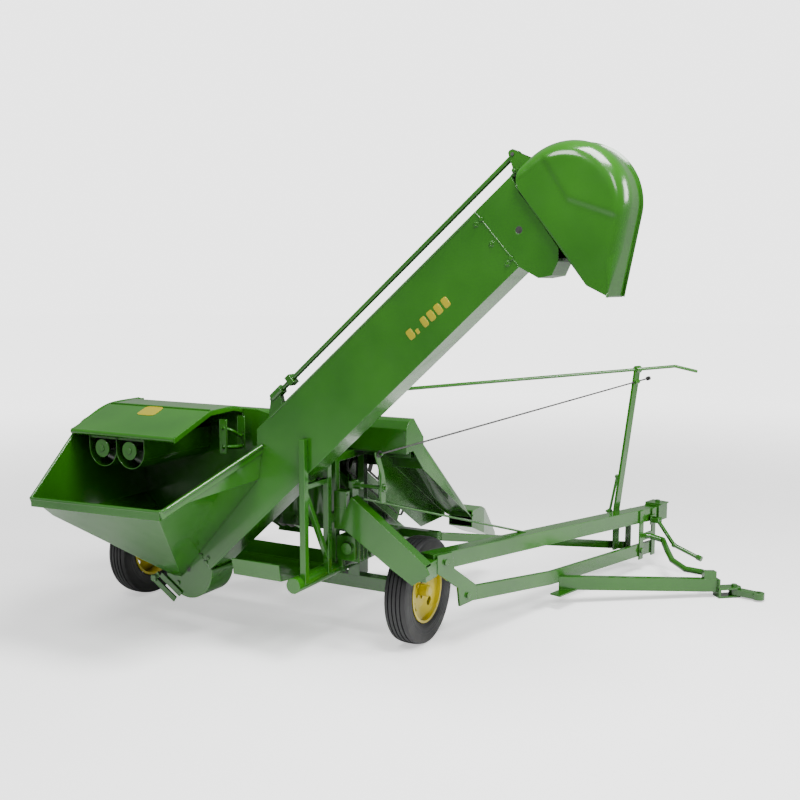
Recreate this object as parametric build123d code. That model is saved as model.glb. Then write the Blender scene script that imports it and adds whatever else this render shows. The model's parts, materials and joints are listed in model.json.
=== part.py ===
from build123d import *
import math
import os

# Pull-type two-row corn picker with a rear ear hopper and a side-delivery elevator.
# Millimetres. While it is modelled, the origin lies on the ground under the axle's middle,
# +X points forward, +Y left and +Z up. At the end everything is moved together, so that the
# origin is the bottom centre of the whole machine's box.

# ---------------- driving dimensions ----------------
sheet = 5.0                  # sheet metal of hopper, trunk and covers
fit = 0.1                    # gap round a clamped round part
running = 0.05               # radial clearance of a shaft in its bearing

tyre_radius = 360.0
tyre_width = 156.0
tyre_wall = 15.0
rim_radius = 216.0
wheel_centre_y = 1193.0
spindle_diameter = 45.0
lug_count = 5
lug_circle = 58.0
lug_diameter = 14.0

axle_size = 90.0
axle_half_length = 1050.0
rail_diameter = 100.0
rail_height = 530.0
right_rail_y = -720.0
left_rail_y = 780.0
rail_rear = -800.0
left_rail_rear = -420.0
rail_front = 620.0
post_size = 50.0             # square tube of the body frame
rear_post_x = -330.0
front_post_x = 40.0
frame_top = 1290.0

deck_right = -1150.0
deck_left = 1240.0
deck_rear = -100.0
deck_front = 150.0
deck_top = 1518.0
cover_width = 220.0
cover_front = 990.0
divider_right = [deck_right, -65.0, deck_left - cover_width]   # right edges of the dividers

row_slope = 32.0
row_height = 1050.0
row_y = [-497.0, 587.0]
roll_diameter = 76.0
roll_spacing = 84.0
roll_journal = 30.0
row_rear = -190.0
row_length = 1490.0

hopper_rear = -1430.0
hopper_left = 850.0
hopper_rim_height = 1050.0
hood_right = -40.0
trough_radius = 115.0
trough_height = 1337.0
trough_y = [358.0, 592.0]
trough_rear = -1050.0
trough_front = -115.0
auger_shaft = 40.0

trunk_rear = -700.0
trunk_front = -470.0
wall_x = -380.0              # bulkhead between hopper and body
channel_x = -400.0
trunk_top_slope = 0.8754     # rise of the trunk's top line per unit of run to the right
trunk_low_slope = 0.9145     # the trunk tapers towards its head
boot_y = 200.0
boot_z = 490.0
boot_radius = 200.0
head_y = -2150.0
head_z = 2690.0
sprocket_radius = 70.0
shaft_diameter = 40.0

hood_pivot = (-2112.0, 3010.0)      # y and z of the spout hood's hinge line
hood_centre = (-2410.0, 2825.0)
hood_radius = 345.0
hood_side_gap = 40.0
ear_pin = (-2075.0, 3105.0)
lift_rod_diameter = 34.0

beam_offset = 99.0          # from the right tyre's outer face to the beam's middle
beam_y = -(wheel_centre_y + tyre_width / 2 + beam_offset)
beam_start = (-230.0, beam_y, 630.0)
beam_end = (2690.0, beam_y - 750.0, 450.0)
beam_size = 110.0
post_height = 1650.0
wire_diameter = 12.0
control_rod_diameter = 26.0
grip_bend = 60.0             # radius of the bend before the control rod's grip


# ---------------- helpers ----------------
def block(x0, x1, y0, y1, z0, z1):
    middle = Pos((x0 + x1) / 2, (y0 + y1) / 2, (z0 + z1) / 2)
    return middle * Box(abs(x1 - x0), abs(y1 - y0), abs(z1 - z0))


def tube_block(x0, x1, y0, y1, z0, z1, wall, end=None):
    end = wall if end is None else end
    spans = [x1 - x0, y1 - y0, z1 - z0]
    insets = [end if span == max(spans) else wall for span in spans]
    hollow = block(x0 + insets[0], x1 - insets[0], y0 + insets[1], y1 - insets[1],
                   z0 + insets[2], z1 - insets[2])
    return block(x0, x1, y0, y1, z0, z1) - hollow


def plate_yz(points, x0, x1):
    face = make_face(Polyline(*points, close=True))
    return extrude(Plane.YZ.offset(x0) * face, amount=x1 - x0)


def plate_xz(points, y0, y1):
    face = make_face(Polyline(*points, close=True))
    plane = Plane(origin=(0, y1, 0), x_dir=(1, 0, 0), z_dir=(0, -1, 0))
    return extrude(plane * face, amount=y1 - y0)


def plane_along(p, q):
    way = Vector(*q) - Vector(*p)
    level = Vector(0, 0, 1).cross(way)
    if level.length < 1e-6:
        level = Vector(1, 0, 0)
    return Plane(origin=p, x_dir=level, z_dir=way)


def distance(p, q):
    return (Vector(*q) - Vector(*p)).length


def rod(p, q, diameter):
    return extrude(plane_along(p, q) * Circle(diameter / 2), amount=distance(p, q))


def pipe(p, q, diameter, wall):
    ring = Circle(diameter / 2) - Circle(diameter / 2 - wall)
    return extrude(plane_along(p, q) * ring, amount=distance(p, q))


def bar(p, q, width, height):
    return extrude(plane_along(p, q) * Rectangle(width, height), amount=distance(p, q))


def cross_rod(x, y0, y1, z, diameter):
    return rod((x, y0, z), (x, y1, z), diameter)


def beyond(point, normal, size=6000.0):
    """The half space on the outer side of a plane, as a big block."""
    return extrude(Plane(origin=point, z_dir=normal) * Rectangle(size, size), amount=size / 2)


def hexagon(x, y, z, across, height):
    return Pos(x, y, z) * extrude(RegularPolygon(across / 2, 6, major_radius=False), amount=height)


# ---------------- wheels (made about Z, outer face up, then turned) ----------------
def make_tyre():
    half = tyre_width / 2
    bead = rim_radius - 10
    outer = Polyline((bead, 60), (rim_radius + 2, 60))
    outer += ThreePointArc((rim_radius + 2, 60), (300, half), (tyre_radius - 6, 56))
    outer += Polyline((tyre_radius - 6, 56), (tyre_radius, 46), (tyre_radius, -46), (tyre_radius - 6, -56))
    outer += ThreePointArc((tyre_radius - 6, -56), (300, -half), (rim_radius + 2, -60))
    inside = tyre_radius - tyre_wall
    outer += Polyline((rim_radius + 2, -60), (bead, -60), (bead, -44))
    outer += ThreePointArc((bead, -44), (300, tyre_wall - half), (inside, -40))
    outer += Line((inside, -40), (inside, 40))
    outer += ThreePointArc((inside, 40), (300, half - tyre_wall), (bead, 44))
    outer += Line((bead, 44), (bead, 60))
    section = Plane.XZ * make_face(outer)
    tyre = revolve(section, Axis.Z)
    for height in (-27, 0, 27):
        groove = Circle(tyre_radius + 5) - Circle(tyre_radius - 6)
        tyre -= Pos(0, 0, height - 4) * extrude(groove, amount=8)
    return tyre


def make_rim():
    seat = rim_radius - 10.3
    points = [(seat, 60), (rim_radius, 60), (rim_radius, 66), (seat - 7, 66), (seat - 7, 36),
              (118, 12), (40, 12), (40, 4), (120, 4), (seat - 7, 27), (seat - 7, -66),
              (rim_radius, -66), (rim_radius, -60), (seat, -60)]
    rim = revolve(Plane.XZ * make_face(Polyline(*points, close=True)), Axis.Z)
    for step in range(4):
        hole = extrude(SlotOverall(64, 34), amount=200, both=True)
        rim -= Rot(0, 0, 45 + 90 * step) * Pos(152, 0, 0) * Rot(0, 0, 90) * hole
    return rim - lug_cylinders(lug_diameter / 2 + running, -30, 30)


def lug_cylinders(radius, bottom, top):
    spots = PolarLocations(lug_circle, lug_count)
    return Part() + [spot * Pos(0, 0, bottom) * extrude(Circle(radius), amount=top - bottom)
                     for spot in spots]


def make_hub():
    bore = spindle_diameter / 2 + running
    points = [(bore, -70), (39.8, -70), (39.8, -6), (78, -6), (78, 4), (39.8, 4), (39.8, 45), (bore, 45)]
    hub = revolve(Plane.XZ * make_face(Polyline(*points, close=True)), Axis.Z)
    return hub - lug_cylinders(lug_diameter / 2 + running, -30, 30)


def make_hub_cap():
    points = [(33, 45), (39.8, 45), (39.8, 74), (30, 84), (0, 84), (0, 79), (28, 79), (33, 72)]
    return revolve(Plane.XZ * make_face(Polyline(*points, close=True)), Axis.Z)


def make_lug_nuts():
    shanks = lug_cylinders(lug_diameter / 2, -6, 22)
    heads = [spot * (hexagon(0, 0, 12, 24, 9) + hexagon(0, 0, -12, 24, 6))
             for spot in PolarLocations(lug_circle, lug_count)]
    return shanks + heads


def make_hub_set():
    """Hub with its cap and the nuts that hold the rim."""
    return Compound([*make_hub().solids(), *make_hub_cap().solids(), *make_lug_nuts().solids()])


def make_spindle():
    """Runs from the axle beam's end through the hub, with its washer and nut."""
    inner = axle_half_length - wheel_centre_y
    collar = Pos(0, 0, inner) * extrude(Circle(36), amount=-70 - inner)
    pin = Pos(0, 0, -70) * extrude(Circle(spindle_diameter / 2), amount=135)
    washer = Pos(0, 0, 45) * extrude(Circle(31), amount=5)
    return collar + pin + washer + hexagon(0, 0, 50, 50, 14)


def on_side(shape, side):
    """Right wheel for side -1, left wheel for side 1."""
    return Pos(0, side * wheel_centre_y, 0) * Rot(-90 * side, 0, 0) * shape


def wheel_nodes():
    makers = {"tyre": make_tyre, "rim": make_rim, "hub": make_hub_set}
    nodes = {}
    for side, name in ((-1, "right"), (1, "left")):
        for piece, maker in makers.items():
            nodes[f"{name}_{piece}"] = Pos(0, 0, tyre_radius) * on_side(maker(), side)
    return nodes


# ---------------- frame ----------------
def rail_cylinder(y, extra=0.0):
    rear = rail_rear if y < 0 else left_rail_rear
    return rod((rear, y, rail_height), (rail_front, y, rail_height), rail_diameter + 2 * extra)


def both_rails(extra=0.0):
    return rail_cylinder(right_rail_y, extra) + rail_cylinder(left_rail_y, extra)


def make_axle_beam():
    half = axle_size / 2
    beam = tube_block(-half, half, -axle_half_length, axle_half_length,
                      tyre_radius - half, tyre_radius + half, 8, 12)
    for y in (right_rail_y, left_rail_y):
        saddle = block(-60, 60, y - 45, y + 45, tyre_radius + half, rail_height)
        beam += saddle - rail_cylinder(y, fit)
    for side in (-1, 1):
        beam += Pos(0, 0, tyre_radius) * on_side(make_spindle(), side)
    return beam


def make_rails():
    rails = Part()
    for y in (right_rail_y, left_rail_y):
        rear = rail_rear if y < 0 else left_rail_rear
        inner = rod((rear + 8, y, rail_height), (rail_front - 8, y, rail_height),
                    rail_diameter - 12)
        rails += rail_cylinder(y) - inner
    return rails + make_front_cross_tube()


def row_bar_height(x):
    return row_height - x * math.tan(math.radians(row_slope))


def row_hangers(x, low, high):
    """Flat plates that stand against the outer faces of the row frames' side bars."""
    plates = Part()
    for y in row_y:
        for side in (-1, 1):
            face = y + side * 115
            plates += block(x - 20, x + 20, face, face + side * 10, low, high)
    return plates


def make_front_cross_tube():
    tube = tube_block(560, 620, -1060, 1060, 548, 608, 6) - both_rails(fit)
    return tube + row_hangers(590, 608, row_bar_height(590) + 20)


def make_body_frame():
    frame = Part()
    half = post_size / 2
    for y in (right_rail_y, left_rail_y):
        for x in (rear_post_x, front_post_x):
            frame += block(x, x + post_size, y - half, y + half, rail_height, frame_top)
        frame += block(rear_post_x, front_post_x + post_size, y - half, y + half,
                       frame_top - post_size, frame_top)
    frame += block(rear_post_x, rear_post_x + post_size, right_rail_y, left_rail_y, 1160, 1160 + post_size)
    frame += block(front_post_x, front_post_x + post_size, deck_right + 40, deck_left - 40,
                   frame_top - post_size, frame_top)
    frame += block(deck_rear + sheet, deck_rear + sheet + 40, deck_right + sheet, deck_left - sheet,
                   frame_top, frame_top + 50)
    frame += row_hangers(front_post_x + 25, row_bar_height(front_post_x + 25) - 20, frame_top - 10)
    for y in trough_y:
        frame += block(rear_post_x, rear_post_x + post_size, y - 60, y + 60, 1210, 1260)
    for y in (-200, 720):
        frame += block(wall_x + sheet, rear_post_x, y - 30, y + 30, 1160, 1210)
    return frame - both_rails(fit) - trough_envelope(fit)


def make_belly_pan():
    """Husk pan hung under the body between the rails."""
    profile = [(-780, 640), (-760, 530), (-520, 500), (-120, 470), (-70, 560), (-76, 562), (-124, 477),
               (-519, 507), (-755, 536), (-773, 641)]
    pan = plate_xz(profile, right_rail_y + 120, left_rail_y - 120)
    pan -= block(-900, wall_x + 45, -230, left_rail_y, 300, 800)
    hangers = Part()
    for y, side in ((right_rail_y, 1), (left_rail_y, -1)):
        edge = y + side * 120
        hangers += block(-200, -160, y + side * (rail_diameter / 2 - 20), edge, 472, 500)
    return (pan + hangers) - both_rails(fit)


# ---------------- deck and dividers ----------------
def deck_profile(inset):
    return [(deck_rear + inset, 1300), (deck_rear + inset, 1455), (-62, deck_top - 14 - inset),
            (-30, deck_top - inset), (8, deck_top - inset), (40, deck_top - 34 - inset),
            (deck_front - inset, 1376 - inset), (deck_front - inset, 1150)]


def make_deck_hood():
    outer = deck_profile(0) + [(0, 1300)]
    inner = deck_profile(sheet) + [(0, 1290 - 140), (deck_rear + sheet, 1290 - 140)]
    hood = plate_xz(outer, deck_right, deck_left)
    hood -= plate_xz(inner, deck_right + sheet, deck_left - sheet)
    low = [(0, 1300), (deck_front, 1150), (deck_front, 1000), (-300, 1000), (-300, 1300)]
    hood -= plate_xz(low, deck_right - 10, deck_left + 10)
    for y in row_y:
        hood -= block(deck_front - 20, deck_front + 20, y - 160, y + 160, 1170, 1330)
    return hood


def cover_profile(inset):
    return [(deck_front, 1376 - inset), (cover_front, 684 - inset), (cover_front, 640 - inset),
            (787, 755 - 2 * inset), (deck_front, 1150 - 2 * inset)]


def make_divider(right_edge):
    left_edge = right_edge + cover_width
    cover = plate_xz(cover_profile(0), right_edge, left_edge)
    top_edges = [e for e in cover.edges().filter_by(Axis.Y, reverse=True)
                 if e.length > 900 and abs(e.center().Z - 1030) < 60]
    if top_edges:
        cover = fillet(top_edges, 70)
    inner = plate_xz([(deck_front - 5, 1380 - sheet), (cover_front - sheet, 688 - sheet),
                      (cover_front - sheet, 500), (deck_front - 5, 500)],
                     right_edge + sheet, left_edge - sheet)
    inner_edges = [e for e in inner.edges().filter_by(Axis.Y, reverse=True)
                   if e.length > 900 and e.center().Z > 1000]
    if inner_edges:
        inner = fillet(inner_edges, 70 - sheet)
    return cover - inner


nose_pivot = (1016.0, 650.0)
nose_pin = 14.0


def make_nose(right_edge):
    """Hinged gathering point in front of a divider."""
    px, pz = nose_pivot
    profile = [(1000, 560), (1000, 664), (1012, 690), (1180, 690), (1260, 655), (1590, 392), (1604, 366),
               (1586, 350), (1300, 440)]
    y0, y1 = right_edge + 12, right_edge + cover_width - 12
    nose = plate_xz(profile, y0, y1)
    nose -= beyond((1230, y0, 500), (0.16, -1, 0)) + beyond((1230, y1, 500), (0.16, 1, 0))
    hollow = plate_xz([(970, 540), (970, 680), (1175, 680), (1250, 645), (1500, 446), (1300, 452), (1000, 570)],
                      y0 + 8, y1 - 8)
    hollow -= beyond((1210, y0 + 8, 500), (0.16, -1, 0))
    hollow -= beyond((1210, y1 - 8, 500), (0.16, 1, 0))
    return nose - hollow - rod((px, y0 - 5, pz), (px, y1 + 5, pz), nose_pin + 2 * running)


def make_nose_hinge(right_edge):
    px, pz = nose_pivot
    y0, y1 = right_edge + 12, right_edge + cover_width - 12
    hinge = rod((px, y0 - 4, pz), (px, y1 + 4, pz), nose_pin)
    for y in (y0 + 30, y1 - 38):
        hinge += block(cover_front, px, y, y + 8, pz - 10, pz + 14) + rod((px, y, pz), (px, y + 8, pz), 28)
    return hinge


def nodes_of_dividers():
    nodes = {"divider_covers": Part() + [make_divider(edge) + make_nose_hinge(edge) for edge in divider_right]}
    for name, edge in zip(("right", "centre", "left"), divider_right):
        nodes[f"{name}_divider_nose"] = make_nose(edge)
    return nodes


# ---------------- row units ----------------
def row_place(y):
    """Local X runs forward and down along the snapping rolls."""
    return Pos(0, y, row_height) * Rot(0, row_slope, 0)


def make_row_frame(y):
    front = row_rear + row_length
    frame = Part()
    for side in (-1, 1):
        frame += block(row_rear, front, side * 105, side * 115, -35, 35)
    for x in (row_rear, front - 12):
        frame += block(x, x + 12, -115, 115, -60, 60)
    for side in (-1, 1):
        hole = rod((row_rear - 20, side * roll_spacing / 2, 0), (front + 20, side * roll_spacing / 2, 0),
                   roll_journal + 2 * running)
        frame -= hole
    return row_place(y) * frame


def make_roll(y, side):
    front = row_rear + row_length
    centre = side * roll_spacing / 2
    body = rod((row_rear + 40, centre, 0), (front - 60, centre, 0), roll_diameter)
    journal = rod((row_rear - 15, centre, 0), (front + 8, centre, 0), roll_journal)
    return row_place(y) * (body + journal)


def row_nodes():
    nodes = {"row_frames": Part() + [make_row_frame(y) for y in row_y]}
    for name, y in zip(("right", "left"), row_y):
        nodes[f"{name}_row_inner_roll"] = make_roll(y, 1 if name == "right" else -1)
        nodes[f"{name}_row_outer_roll"] = make_roll(y, -1 if name == "right" else 1)
    return nodes


# ---------------- gearbox ----------------
gearbox_y = 45.0
input_shaft_diameter = 35.0


def make_gearbox():
    top = frame_top - post_size
    box = block(0, 118, gearbox_y - 90, gearbox_y + 90, top - 190, top)
    box = fillet(box.edges().filter_by(Axis.X), 18)
    collar = rod((118, gearbox_y, top - 110), (140, gearbox_y, top - 110), 80)
    hole = rod((60, gearbox_y, top - 110), (200, gearbox_y, top - 110), input_shaft_diameter + 2 * running)
    return box + collar - hole


def make_input_shaft():
    z = frame_top - post_size - 110
    journal = rod((62, gearbox_y, z), (150, gearbox_y, z), input_shaft_diameter)
    return journal + rod((150, gearbox_y, z), (290, gearbox_y, z), input_shaft_diameter - 5)


# ---------------- hopper ----------------
rear_plane = ((hopper_rear, 0, hopper_rim_height), (-0.649, 0, -0.761))
floor_plane = ((0, 850, 900), (0, 0.669, -0.743))
rim_rear_right = (hopper_rear, -220.0, 1075.0)
rim_front_right = (trunk_rear, -430.0, 1385.0)
seam_top = (trunk_rear, -400.0, 1163.0)
seam_low = (trunk_rear, 120.0, 585.0)


def normal_of(a, b, c):
    """Unit normal of the plane through three points, turned to the right-hand side (-Y)."""
    normal = (Vector(*b) - Vector(*a)).cross(Vector(*c) - Vector(*a)).normalized()
    return normal if normal.Y < 0 else normal * -1


def hopper_solid(inset):
    """The hopper's space inside planes that are moved inwards by the inset."""
    planes = [rear_plane, floor_plane, ((0, hopper_left, 0), (0, 1, 0)),
              (rim_rear_right, normal_of(rim_rear_right, rim_front_right, seam_top)),
              (rim_rear_right, normal_of(rim_rear_right, seam_top, seam_low))]
    space = block(hopper_rear + inset, wall_x + (20 if inset else 0), -700, 1000, 300, 1900)
    for point, normal in planes:
        unit = Vector(*normal).normalized() if not isinstance(normal, Vector) else normal
        space -= beyond(Vector(*point) - unit * inset, unit)
    return space


def hopper_top_cut():
    """Everything above the rim: a slanted plane, and the left wall's own curved edge."""
    across = (Vector(*rim_front_right) - Vector(*rim_rear_right))
    along = Vector(0, 1, -0.023)
    normal = along.cross(across).normalized()
    normal = normal if normal.Z > 0 else normal * -1
    slanted = beyond(rim_rear_right, normal) - block(-3000, 3000, hopper_left - 30, 3000, -3000, 5000)
    left_edge = [(hopper_rear - 50, 1002), (-990, 1465), (-900, 1510), (-780, 1560), (-660, 1585), (0, 1592),
                 (0, 2500), (hopper_rear - 50, 2500)]
    return slanted + plate_xz(left_edge, hopper_left - 30, hopper_left + 30)


def make_hopper():
    shell = hopper_solid(0) - hopper_solid(sheet)
    shell -= hopper_top_cut()
    # behind the trunk the hopper ends at the trunk's rear face, and beside it at the boot
    shell -= block(trunk_rear, wall_x + 50, -900, boot_y + boot_radius, 0, 3000)
    rim = bar((hopper_rear + 9, hopper_left, hopper_rim_height - 24),
              (hopper_rear + 9, rim_rear_right[1] + 8, rim_rear_right[2] - 26), 18, 60)
    rim += bar((hopper_rear + 9, rim_rear_right[1] + 8, rim_rear_right[2] - 26),
               (trunk_rear, rim_front_right[1] + 8, rim_front_right[2] - 26), 18, 50)
    rim -= beyond((0, hopper_left, 0), (0, 1, 0))
    rim -= block(trunk_rear, wall_x + 50, -900, boot_y + boot_radius, 0, 3000)
    left_rim = [(hopper_rear, hopper_rim_height), (-990, 1465), (-900, 1510), (-780, 1560), (-660, 1585),
                (-400, 1590), (-400, 1545), (-655, 1541), (-765, 1518), (-880, 1470), (-970, 1424),
                (hopper_rear + 20, 1000)]
    rim += plate_xz(left_rim, hopper_left, hopper_left + 14)
    return shell + rim


def hood_line(raise_by):
    return [(-1080, 1450 + raise_by), (-720, 1585 + raise_by), (-480, 1592 + raise_by),
            (deck_rear, 1500 + raise_by)]


def make_hopper_hood():
    points = hood_line(0) + hood_line(-sheet)[::-1]
    hood = plate_xz(points, hood_right, hopper_left - sheet)
    lip = cross_rod(-1072, hood_right, hopper_left - sheet, 1440, 24)
    right_edge = hood_line(-sheet) + hood_line(-34)[::-1]
    edge = plate_xz(right_edge, hood_right, hood_right + sheet)
    return hood + lip + edge


def make_bulkhead():
    points = [(hopper_left, 900), (hopper_left - 60, 900 - 54), (boot_y + boot_radius, 495),
              (boot_y + boot_radius - 20, 760), (-440, trunk_top(-440) - 60), (-440, 1500), (hood_right, 1590),
              (hopper_left, 1590)]
    wall = plate_yz(points, wall_x, wall_x + sheet)
    above = plate_xz([(-1080, 1440), (-720, 1580), (-480, 1587), (deck_rear, 1495), (0, 1495), (0, 2200),
                      (-1080, 2200)], hood_right - 200, hopper_left + 100)
    wall -= block(wall_x, wall_x + sheet, hood_right - fit, hood_right + sheet + fit, 1450, 1700)
    return wall - above - trough_envelope(fit)


# ---------------- ear conveyors ----------------
def trough_shape(radius, x0, x1, top):
    shape = Part()
    for y in trough_y:
        shape += rod((x0, y, trough_height), (x1, y, trough_height), 2 * radius)
        shape += block(x0, x1, y - radius, y + radius, trough_height, top)
    return shape


def trough_envelope(extra):
    return trough_shape(trough_radius + sheet + extra, trough_rear - 10, trough_front + 10, 1430)


def make_troughs():
    outer = trough_shape(trough_radius + sheet, trough_rear, trough_front, 1425)
    inner = trough_shape(trough_radius, trough_rear - 10, trough_front - sheet, 1500)
    troughs = outer - inner
    span = [trough_y[0] - trough_radius - sheet, trough_y[1] + trough_radius + sheet]
    hanger = block(trough_rear + 10, trough_rear + 34, span[0] + sheet, span[1] - sheet, 1400, 1422)
    for y in trough_y:
        hanger += block(trough_rear + 14, trough_rear + 30, y - 12, y + 12, trough_height, 1400)
        hanger += rod((trough_rear + 8, y, trough_height), (trough_rear + 36, y, trough_height), 62)
    troughs += hanger
    for y in trough_y:
        troughs -= rod((trough_rear - 20, y, trough_height), (trough_front + 20, y, trough_height),
                       auger_shaft + 2 * running)
    return troughs


def make_auger(y):
    shaft = rod((trough_rear - 14, y, trough_height), (trough_front + 10, y, trough_height), auger_shaft)
    disc = rod((trough_rear - 8, y, trough_height), (trough_rear + 4, y, trough_height), 118)
    auger = shaft + disc
    pitch = 150
    for step in range(5):
        x = trough_rear + 130 + pitch * step
        paddle = Pos(x, y, trough_height) * Rot(0, 90 + 14, 0) * Cylinder(trough_radius - 9, 8)
        auger += paddle
    return auger


# ---------------- elevator ----------------
def trunk_top(y):
    return 1843.0 + (-800.0 - y) * trunk_top_slope


def trunk_low(y):
    return 888.0 + (-400.0 - y) * trunk_low_slope


boot_joint = ((8.5, trunk_low(8.5)), (323.0, trunk_top(323.0)))
head_joint = ((-2154.0, trunk_low(-2154.0)), (-1890.0, trunk_top(-1890.0)))


def hopper_window():
    """The part of the trunk's rear side that opens into the hopper."""
    return plate_yz([(318, 437), (266, 437), (125, 592), (-388, 1165), (-388, 2000), (600, 2000), (600, 437)],
                    trunk_rear - 10, trunk_rear + sheet + 10)


def make_trunk():
    outline = [boot_joint[0], boot_joint[1], head_joint[1], head_joint[0]]
    low_wall, top_wall = sheet * 1.36, sheet * 1.33      # the slanted walls' heights, measured upright
    inner = [(500, trunk_low(500) + low_wall), (500, trunk_top(500) - top_wall),
             (-2300, trunk_top(-2300) - top_wall), (-2300, trunk_low(-2300) + low_wall)]
    trunk = plate_yz(outline, trunk_rear, trunk_front)
    trunk -= plate_yz(inner, trunk_rear + sheet, trunk_front - sheet)
    trunk -= hopper_window()
    trunk -= block(trunk_rear + sheet, trunk_front - sheet, -425, 600, trunk_top(-425) - 40, 3000)
    open_top = [(600, trunk_top(600) - 25), (-425, trunk_top(-425) - 25), (-425, 3000), (600, 3000)]
    return trunk - plate_yz(open_top, trunk_rear + sheet, trunk_front - sheet)


def make_boot():
    y0, y1 = boot_y - boot_radius, boot_y + boot_radius
    disc = rod((trunk_rear, boot_y, boot_z), (trunk_front, boot_y, boot_z), 2 * boot_radius)
    upper = plate_yz([(boot_joint[0][0], boot_joint[0][1]), boot_joint[1], (y1, 700), (y1, boot_z),
                      (boot_y, boot_z - 40)], trunk_rear, trunk_front)
    hollow = rod((trunk_rear + sheet, boot_y, boot_z), (trunk_front - sheet, boot_y, boot_z),
                 2 * (boot_radius - sheet))
    hollow += plate_yz([(y0 + 5, 540), (200, 1000), (y1 - sheet, 1000), (y1 - sheet, boot_z), (boot_y, boot_z - 40)],
                       trunk_rear + sheet, trunk_front - sheet)
    beyond_joint = plate_yz([(boot_joint[0][0], boot_joint[0][1]), boot_joint[1], (-600, 1800), (-600, 100),
                             (boot_joint[0][0] - 200, boot_joint[0][1] - 220)],
                            trunk_rear - 10, trunk_front + 10)
    boot = disc + upper - hollow - beyond_joint - hopper_window()
    boot -= block(trunk_rear + sheet, trunk_front - sheet, y1 - 30, y1 + 30, 525, 1200)
    hole = rod((trunk_rear - 60, boot_y, boot_z), (trunk_front + 60, boot_y, boot_z), shaft_diameter + 2 * running)
    boot += rod((trunk_front, boot_y, boot_z), (trunk_front + 30, boot_y, boot_z), 84)
    return boot - hole


def make_head():
    """Casing round the head shaft, with its rounded throat below the outlet."""
    low = head_joint[0]
    top = head_joint[1]
    outline = [low, top, (-2099, trunk_top(-2099)), (-2150, 2886), (-2230, 2790), (-2375, 2590), (-2375, 2520),
               (-2340, 2445), (-2264, 2432)]
    casing = plate_yz(outline, trunk_rear, trunk_front)
    inner = [(low[0] + 10, low[1] + 1), (top[0] + 10, top[1] - 14), (-2090, trunk_top(-2090) - 7),
             (-2400, 2680), (-2400, 2600), (-2368, 2522), (-2336, 2452), (-2264, 2439)]
    casing -= plate_yz(inner, trunk_rear + sheet, trunk_front - sheet)
    hole = rod((trunk_rear - 60, head_y, head_z), (trunk_front + 60, head_y, head_z),
               shaft_diameter + 2 * running)
    casing += rod((trunk_front, head_y, head_z), (trunk_front + 16, head_y, head_z), 80)
    return casing - hole


def make_cross_shaft(y, z, rear_reach, front_reach):
    shaft = rod((trunk_rear - rear_reach, y, z), (trunk_front + front_reach, y, z), shaft_diameter)
    for x in (trunk_rear + 40, trunk_front - 60):
        shaft += rod((x, y, z), (x + 20, y, z), 2 * sprocket_radius)
    return shaft


def make_chain():
    """Two strands round the sprockets, joined by slats that lift the ears."""
    run = Vector(0, head_y - boot_y, head_z - boot_z)
    length = run.length
    gap = 0.4
    chain = Part()
    turn = math.degrees(math.atan2(run.Z, -run.Y))
    place = Pos(0, boot_y, boot_z) * Rot(-turn, 0, 0)
    # local: the run goes along -Y from the boot's shaft to the head's shaft
    for x in (trunk_rear + 40, trunk_front - 60):
        outer = sprocket_radius + gap + 12
        inner = sprocket_radius + gap
        face = Pos(-length / 2, 0) * (SlotCenterToCenter(length, 2 * outer) - SlotCenterToCenter(length, 2 * inner))
        chain += extrude(Plane.YZ.offset(x) * face, amount=20)
    slat_count = 9
    for step in range(slat_count):
        y = -length * (step + 0.5) / slat_count
        for side in (-1, 1):
            z0 = side * (sprocket_radius + gap)
            z1 = side * (sprocket_radius + gap + (34 if side > 0 else 22))
            chain += block(trunk_rear + 40, trunk_front - 40, y - 6, y + 6, min(z0, z1), max(z0, z1))
    return place * chain


# ---------------- spout hood ----------------
def hood_outline(inset):
    """Side outline; the inner one runs out through the mouth."""
    cy, cz = hood_centre
    r = hood_radius - inset
    start, end = math.radians(35), math.radians(186)
    on_arc = [(cy + r * math.cos(a), cz + r * math.sin(a)) for a in (start, (start + end) / 2, end)]
    top = (hood_pivot[0] - 18, hood_pivot[1] - 6 - 1.2 * inset)
    low_outer = (-2665 + inset, 2330)
    rest = [(-2540, 2392), (hood_pivot[0] - 33, hood_pivot[1] - 97)]
    if inset:
        run = 0.5 * (top[0] - on_arc[0][0])
        top = (top[0] + run, top[1] + run * (top[1] - on_arc[0][1]) / (top[0] - on_arc[0][0]))
        fall = (low_outer[1] - on_arc[2][1]) / (low_outer[0] - on_arc[2][0])
        low_outer = (low_outer[0] + 12, low_outer[1] + 12 * fall)
        rest = [(-2400, 2200), (hood_pivot[0] + 90, hood_pivot[1] - 300)]
    lines = Polyline(rest[1], top, on_arc[0])
    lines += ThreePointArc(*on_arc)
    lines += Polyline(on_arc[2], low_outer, rest[0], rest[1])
    return make_face(lines)


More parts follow.
